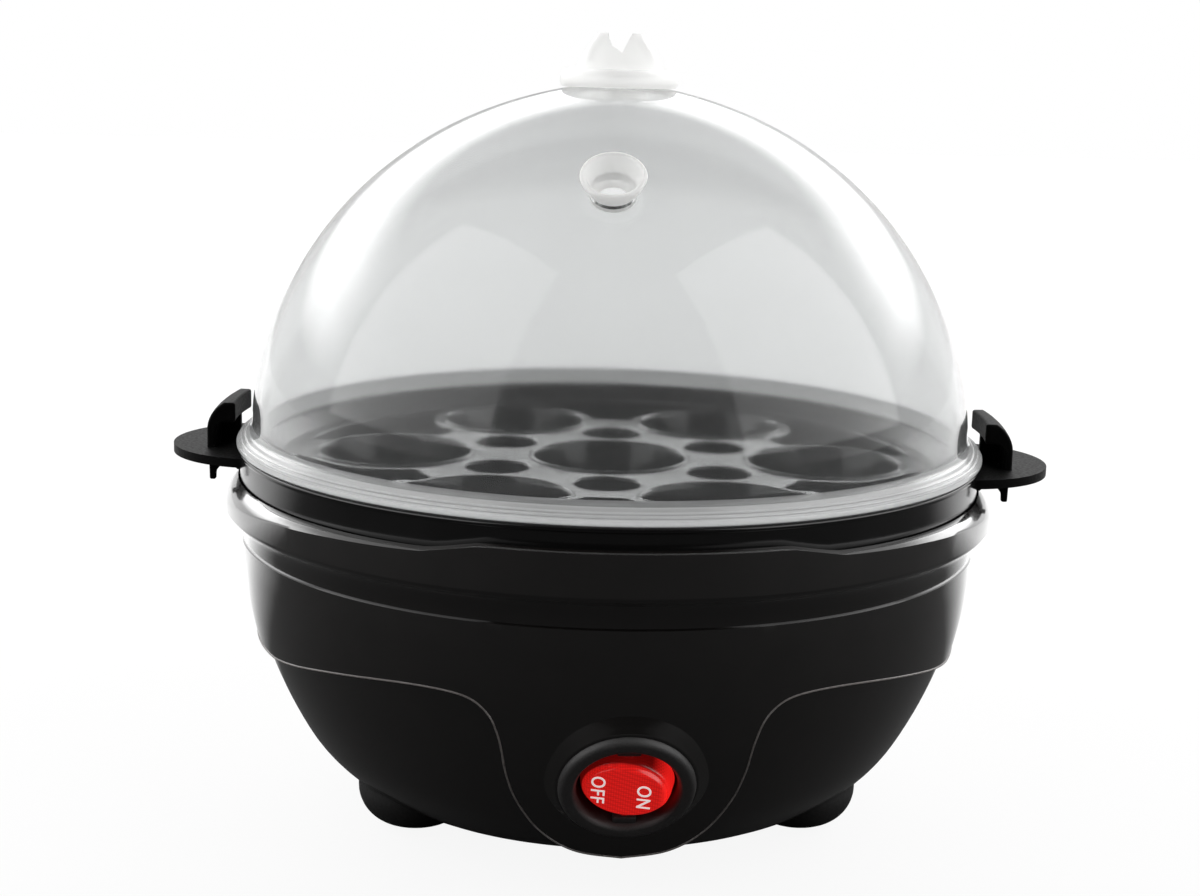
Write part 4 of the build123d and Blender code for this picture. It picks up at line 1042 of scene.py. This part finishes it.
        half = math.radians(6.5)
        hood = [(79.1, 84), *arc_through([(81.4, 84), (84, 81.6), (85, 77.6)], 8), (85, 74),
                (83.2, 74), *arc_through([(83.2, 77.4), (82.5, 79.2), (81.2, 79.8)], 6), (79.1, 79.8)]
        post = spun(hood, 8, 2 * half, -half)
        round_edges(post, 0.55, 3, 50)
        rib = self.web([(79.1, 74), (83.6, 74), (83.6, 79.4), (81.2, 80.4), (79.1, 80.4)], 0, 1.6)
        leg = [(74.8, 73.4), (74.8, 71.0), (77.2, 71.0), (77.6, 71.6), (78.6, 72.0), (80.6, 71.8),
               (81.6, 70.6), (81.7, 68.8), (82.9, 68.8), (83.0, 73.4)]
        legs = [self.web(leg, shift, 1.5) for shift in (-14.0, 14.0)]
        side = joined([wing, post, rib, *legs])
        both = repeated(side, (0, 180))
        both.transform(turn)
        place_piece(both, "tray_wings", grained_polypropylene(), "tray",
                    ["egg_tray"], 40)

    def web(self, outline, shift, thickness):
        """An upright flat web, cut to an outline of radius and height."""
        web = prism(outline, -thickness / 2, thickness / 2)
        web.transform(Matrix.Rotation(math.radians(90), 4, "X"))
        moved(web, (0, shift, 0))
        bmesh.ops.recalc_face_normals(web, faces=web.faces)
        round_edges(web, 0.3, 2)
        return web


class EGGCOOKER_OT_lid(bpy.types.Operator):
    """Build the clear dome with its flange, the steam vent and the knob"""

    bl_idname = "eggcooker.lid"
    bl_label = "Lid"

    def execute(self, context):
        sizes = context.scene.egg_cooker_sizes
        wall = sizes.dome_wall / MM
        heading = sizes.tray_turn - math.radians(90)
        slope = math.radians(51)
        out = Vector((math.cos(heading) * math.cos(slope), math.sin(heading) * math.cos(slope),
                      math.sin(slope)))
        across = Vector((-math.sin(heading), math.cos(heading), 0))
        axes = Matrix((across, out.cross(across), out)).transposed().to_4x4()
        vent_place = Matrix.Translation((Vector((0, 0, DOME_MIDDLE)) + out * 76.9) * MM) @ axes

        def dome_line(inset):
            """The dome's section from its flange to its top, drawn in by inset."""
            rows = smooth_line(DOME_SHAPE, 12)
            return [Vector((0, DOME_MIDDLE)) + polar(row.y - inset, min(row.x, 90)) for row in rows]

        # The section stops at the hole for the knob's peg
        peg = 3.05
        outer = [p for p in dome_line(0) if p.x > peg + 0.5]
        inner = [p for p in dome_line(wall) if p.x > peg + 0.5]
        outer.append(Vector((peg, outer[-1].y)))
        inner.append(Vector((peg, inner[-1].y)))
        # Three ridges run round the flange
        flange = [(73.85, 76.7), (78.3, 76.7), (78.56, 76.95), (78.56, 77.5), (78.42, 77.72),
                  (78.14, 77.78), (78.04, 77.95), (78.14, 78.2), (78.0, 78.42), (77.72, 78.48),
                  (77.46, 78.44), (77.36, 78.56), (77.4, 78.76), (77.24, 78.94), (76.94, 79.0),
                  (76.66, 78.96), (76.54, 79.08), (76.46, 79.4), (76.2, 79.62), (75.9, 79.7),
                  (75.6, 80.1)]
        section = [*flange, *outer, *reversed(inner)]
        dome = spun(section, sizes.turn_steps)
        hole = rod(4.4, -6, 6, 64)
        hole.transform(vent_place)
        dome = carve(dome, hole)
        lid = place_piece(dome, "dome_shell", clear_styrene(), "lid",
                          ["lid_dome"], 40)
        lid.data.materials.append(milky_styrene())
        for face in lid.data.polygons:
            if face.center.z < 79.8 * MM:
                face.material_index = 1

        spout = spun([(3.05, -2.6), (4.35, -2.6), (4.35, -0.6), (4.7, 0.0), (5.4, 1.2), (6.0, 2.4),
                      (6.25, 3.1), (6.1, 3.45), (5.75, 3.6), (5.4, 3.45), (5.1, 3.0), (4.6, 1.6),
                      (3.9, 0.0)], 64)
        spout.transform(vent_place)
        place_piece(spout, "vent_spout", frosted_polypropylene(), "lid",
                    ["steam_vent"], 50)
        self.knob(sizes)
        return {"FINISHED"}

    def knob(self, sizes):
        """A rounded disc with a crown that a notch parts into two peaks."""
        disc = spun([(0, 148.2), (3.0, 148.2), (3.0, 151.6), (9.0, 151.4), (11.6, 150.9),
                     (12.1, 151.3), (12.3, 152.2), (12.25, 153.1), (11.8, 153.9), (10.9, 154.4),
                     (9.4, 154.6), (0, 154.6)], 96, closed=False)
        crown = bmesh.new()
        bmesh.ops.create_circle(crown, cap_ends=True, segments=72, radius=MM)
        rings = [(9.3, 7.1, 153.0), (9.1, 6.9, 154.4), (8.2, 6.2, 156.4), (6.9, 5.2, 158.6),
                 (5.6, 4.3, 160.4), (4.6, 3.5, 161.8)]
        face = crown.faces[:][0]
        base = face
        for vert in face.verts:
            vert.co = Vector((vert.co.x * rings[0][0], vert.co.y * rings[0][1], rings[0][2] * MM))
        low = rings[0]
        for ring in rings[1:]:
            raised = bmesh.ops.extrude_face_region(crown, geom=[face])["geom"]
            new = next(g for g in raised if isinstance(g, bmesh.types.BMFace))
            if face is not base:
                bmesh.ops.delete(crown, geom=[face], context="FACES_ONLY")
            for vert in new.verts:
                vert.co = Vector((vert.co.x * ring[0] / low[0], vert.co.y * ring[1] / low[1],
                                  ring[2] * MM))
            low = ring
            face = new
        bmesh.ops.holes_fill(crown, edges=[e for e in crown.edges if e.is_boundary], sides=0)
        bmesh.ops.recalc_face_normals(crown, faces=crown.faces)
        notch = prism([(-2.8, 163), (-1.7, 159.3), (0.5, 157.9), (3.1, 163)], -9, 9)
        notch.transform(Matrix.Rotation(math.radians(90), 4, "X"))
        bmesh.ops.recalc_face_normals(notch, faces=notch.faces)
        crown = carve(crown, notch)
        round_edges(crown, 0.7, 3, 32, lambda e: min(v.co.z for v in e.verts) > 156 * MM)
        knob = carve(disc, crown, "UNION")
        knob.transform(Matrix.Rotation(sizes.tray_turn, 4, "Z"))
        place_piece(knob, "knob_crown", frosted_polypropylene(), "lid",
                    ["lid_knob"], 40)


class EGGCOOKER_OT_fittings(bpy.types.Operator):
    """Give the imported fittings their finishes, or a smooth copy where they show"""

    bl_idname = "eggcooker.fittings"
    bl_label = "Fittings"

    def execute(self, context):
        # Soft black rubber with a dusty matt skin
        rubber = plain_finish("rubber_matt_black", "#1c1b1b", "#121212", 0.6, 0.8, 0.02)
        # Zinc-plated steel, dull and lightly pitted
        zinc = plain_finish("steel_zinc_plated", "#b9bcc0", "#93979c", 0.35, 0.5, 0.006, 1.0)
        # Stainless tube of the element, tempered to a warm grey
        tube = plain_finish("stainless_tempered", "#8f8a84", "#6b655f", 0.42, 1.2, 0.006, 1.0)
        # Brass strip, rolled and slightly tarnished
        brass = plain_finish("brass_rolled", "#c9a55c", "#a8843f", 0.3, 0.7, 0.004, 1.0)
        # Natural silicone, cloudy white
        silicone = plain_finish("silicone_natural", "#d9d6cf", "#c4c0b7", 0.45, 1.5, 0.01)
        # White nylon of the connector block and the woven glass sleeve
        nylon = plain_finish("nylon_white", "#e4e2db", "#cfccc3", 0.5, 0.6, 0.01)
        # Woven glass wire covers, drawn at 0.5 mm so that the braid shows
        braid = plain_finish("glass_braid_wire_cover", "#dedbd3", "#a9a59b", 0.7, 0.5, 0.05)
        # Thin glass of the neon lamp
        neon = plain_finish("glass_neon_lamp", "#f0b8a0", "#e08e70", 0.08, 2.0, 0.001)
        finishes = {
            "rubber_feet": (rubber, "rubber", True),
            "bottom_cover": (grained_nylon(), "dark_plastic", True),
            "cover_screws": (zinc, "steel", True),
            "heating_plate": (spun_aluminium(), "aluminium", True),
            "pan_seal": (silicone, "silicone", False),
            "pan_screws": (zinc, "steel", True),
            "heating_element": (tube, "steel", False),
            "element_clamp": (zinc, "steel", False),
            "clamp_nut": (zinc, "steel", False),
            "thermostat": (zinc, "steel", False),
            "thermal_fuse": (spun_aluminium(), "aluminium", False),
            "fuse_sleeve": (nylon, "white_plastic", False),
            "cord_gland": (grained_nylon(), "dark_plastic", True),
            "cord_clamp": (grained_nylon(), "dark_plastic", False),
            "clamp_screws": (zinc, "steel", False),
            "switch_terminals": (brass, "brass", False),
            "switch_lamp": (neon, "glass", False),
            "rocker_pin": (brass, "brass", False),
            "contact_blade": (brass, "brass", False),
            "terminal_block": (nylon, "white_plastic", False),
            "knob_clip": (frosted_polypropylene(), "frosted_plastic", False),
            "live_wire": (braid, "wire_cover", False),
            "lamp_wire": (braid, "wire_cover", False),
            "neutral_wire": (braid, "wire_cover", False),
            "switched_wire": (braid, "wire_cover", False),
            "thermostat_wire": (braid, "wire_cover", False),
            "element_wire": (braid, "wire_cover", False),
        }
        for node, (material, slot, smooth) in finishes.items():
            if smooth:
                smooth_copy(node, material)
                continue
            holder = frame["nodes"][node]
            if not holder.material_slots:
                holder.data.materials.append(material)
            for place in holder.material_slots:
                place.material = material
        return {"FINISHED"}


class EGGCOOKER_OT_stage(bpy.types.Operator):
    """Set the floor, the studio light and the camera"""

    bl_idname = "eggcooker.stage"
    bl_label = "Stage"

    def execute(self, context):
        scene = context.scene
        scene.view_settings.view_transform = "Standard"
        self.floor(scene)
        self.world(scene)
        for name, place, target, width, height, watts in (
                ("softbox_left", (-0.986, -0.284, 1.0), (-0.122, 0.219, 0.85), 1.3, 1.7, 11),
                ("softbox_right", (0.97, -0.352, 1.0), (0.141, 0.207, 0.85), 1.3, 1.7, 13)):
            lamp = bpy.data.lights.new(name, "AREA")
            lamp.shape = "RECTANGLE"
            lamp.size = width
            lamp.size_y = height
            lamp.energy = watts
            holder = bpy.data.objects.new(name, lamp)
            scene.collection.objects.link(holder)
            holder.location = place
            holder.rotation_mode = "QUATERNION"
            holder.rotation_quaternion = self.aimed(place, target)
            holder.visible_camera = False
        camera = bpy.data.cameras.new("camera")
        camera.lens = 57.73
        camera.sensor_width = 36
        camera.shift_x = -0.00765
        camera.shift_y = 0.00708
        camera.clip_start = 0.01
        holder = bpy.data.objects.new("camera", camera)
        scene.collection.objects.link(holder)
        eye = (-0.0279, -0.4038, 0.15705)
        holder.location = eye
        holder.rotation_mode = "QUATERNION"
        roll = Quaternion((0, 0, 1), math.radians(1.528))
        holder.rotation_quaternion = self.aimed(eye, (0, 0, 0.073)) @ roll
        scene.camera = holder
        return {"FINISHED"}

    def aimed(self, place, target):
        """The turn that points a lamp or camera from its place at a target."""
        return (Vector(target) - Vector(place)).to_track_quat("-Z", "Y")

    def floor(self, scene):
        """A wide pale floor that keeps the object's shadow."""
        bm = bmesh.new()
        bmesh.ops.create_grid(bm, x_segments=1, y_segments=1, size=3.0)
        mesh = bpy.data.meshes.new("floor")
        bm.to_mesh(mesh)
        bm.free()
        floor = bpy.data.objects.new("floor", mesh)
        scene.collection.objects.link(floor)
        # Pale paper, lifted to white only where the camera looks at it
        material, tree, shader, place = begin_material("paper_studio_floor", {"Roughness": 0.9})
        colour = rgba(scene.egg_cooker_colours.floor)
        fibre = noise(tree, place, 40.0, 2.0)
        tint = add_node(tree, "ShaderNodeMixRGB", {
            "Fac": spread(tree, fibre, 0.0, 1.0), "Color1": colour,
            "Color2": rgba(Vector(colour[:3]) * 0.985)})
        tree.links.new(tint.outputs["Color"], shader.inputs["Base Color"])
        shader.inputs["Emission Color"].default_value = (1, 1, 1, 1)
        away = add_node(tree, "ShaderNodeVectorMath", {"Vector": place}, operation="LENGTH")
        glow = spread(tree, away.outputs["Value"], 0.91, 1.0, 0.25, 0.9)
        # White card lies on the table behind the object, and shows only where its sides reflect it
        back = add_node(tree, "ShaderNodeSeparateXYZ", {"Vector": place}).outputs["Y"]
        card = spread(tree, back, 0.0, 1.2, 0.05, 0.15)
        light = spread(tree, self.backdrop_rays(tree), card, glow, 0.0, 1.0)
        tree.links.new(light, shader.inputs["Emission Strength"])
        mesh.materials.append(material)

    def backdrop_rays(self, tree):
        """1 for rays that look at the backdrop, straight or through the clear dome."""
        rays = add_node(tree, "ShaderNodeLightPath").outputs
        bounced = add_node(tree, "ShaderNodeMath", {
            0: rays["Glossy Depth"], 1: rays["Diffuse Depth"]}, operation="ADD")
        first = add_node(tree, "ShaderNodeMath", {0: bounced.outputs[0], 1: 0.5},
                         operation="LESS_THAN")
        through = add_node(tree, "ShaderNodeMath", {
            0: rays["Is Transmission Ray"], 1: first.outputs[0]}, operation="MULTIPLY")
        return add_node(tree, "ShaderNodeMath", {
            0: rays["Is Camera Ray"], 1: through.outputs[0]}, operation="MAXIMUM").outputs[0]

    def world(self, scene):
        """White behind and beside the object, a bank of light over it, and a dim front."""
        world = bpy.data.worlds.new("studio")
        world.use_nodes = True
        tree = world.node_tree
        for old in list(tree.nodes):
            tree.nodes.remove(old)
        way = add_node(tree, "ShaderNodeTexCoord").outputs["Generated"]
        parts = add_node(tree, "ShaderNodeSeparateXYZ", {"Vector": way}).outputs

        def maths(operation, a, b):
            return add_node(tree, "ShaderNodeMath", {0: a, 1: b}, operation=operation).outputs[0]

        side = maths("ABSOLUTE", parts["X"], 0.0)
        wall = spread(tree, maths("ADD", maths("MULTIPLY", parts["Y"], 0.6), side),
                      0.02, 1.1, 0.1, 1.1)
        bank = maths("MULTIPLY", spread(tree, parts["Z"], 0.0, 3.2, 0.16, 0.32),
                     spread(tree, parts["Z"], 1.0, 0.0, 0.45, 0.62))
        bank = maths("MULTIPLY", bank, spread(tree, parts["Y"], 0.0, 1.0, 0.2, 0.5))
        room = add_node(tree, "ShaderNodeBackground", {"Strength": maths("ADD", wall, bank)})
        white = add_node(tree, "ShaderNodeBackground", {"Strength": 1.0})
        room.inputs["Color"].default_value = (1, 1, 1, 1)
        white.inputs["Color"].default_value = (1, 1, 1, 1)
        both = add_node(tree, "ShaderNodeMixShader", {0: self.backdrop_rays(tree)})
        tree.links.new(room.outputs[0], both.inputs[1])
        tree.links.new(white.outputs[0], both.inputs[2])
        end = add_node(tree, "ShaderNodeOutputWorld")
        tree.links.new(both.outputs[0], end.inputs["Surface"])
        scene.world = world


PIECES = (EGGCOOKER_OT_bowl, EGGCOOKER_OT_apron, EGGCOOKER_OT_columns, EGGCOOKER_OT_switch,
          EGGCOOKER_OT_tray, EGGCOOKER_OT_lid, EGGCOOKER_OT_fittings, EGGCOOKER_OT_stage)


class EGGCOOKER_PT_panel(bpy.types.Panel):
    """Sizes, colours and the buttons that build the pieces"""

    bl_idname = "EGGCOOKER_PT_panel"
    bl_label = "Egg Cooker"
    bl_space_type = "VIEW_3D"
    bl_region_type = "UI"
    bl_category = "Egg Cooker"

    def draw(self, context):
        layout = self.layout
        for group in (context.scene.egg_cooker_sizes, context.scene.egg_cooker_colours):
            box = layout.box()
            for name in group.__annotations__:
                box.prop(group, name)
        for piece in PIECES:
            layout.operator(piece.bl_idname)


CLASSES = (EggCookerSizes, EggCookerColours, *PIECES, EGGCOOKER_PT_panel)


def register():
    for cls in CLASSES:
        bpy.utils.register_class(cls)
    bpy.types.Scene.egg_cooker_sizes = PointerProperty(type=EggCookerSizes)
    bpy.types.Scene.egg_cooker_colours = PointerProperty(type=EggCookerColours)


def unregister():
    del bpy.types.Scene.egg_cooker_colours
    del bpy.types.Scene.egg_cooker_sizes
    for cls in reversed(CLASSES):
        bpy.utils.unregister_class(cls)


def main():
    """Builds every piece."""
    register()
    bpy.ops.eggcooker.bowl()
    bpy.ops.eggcooker.apron()
    bpy.ops.eggcooker.columns()
    bpy.ops.eggcooker.switch()
    bpy.ops.eggcooker.tray()
    bpy.ops.eggcooker.lid()
    bpy.ops.eggcooker.fittings()
    bpy.ops.eggcooker.stage()
    bpy.context.view_layer.update()


if __name__ == "__main__":
    main()
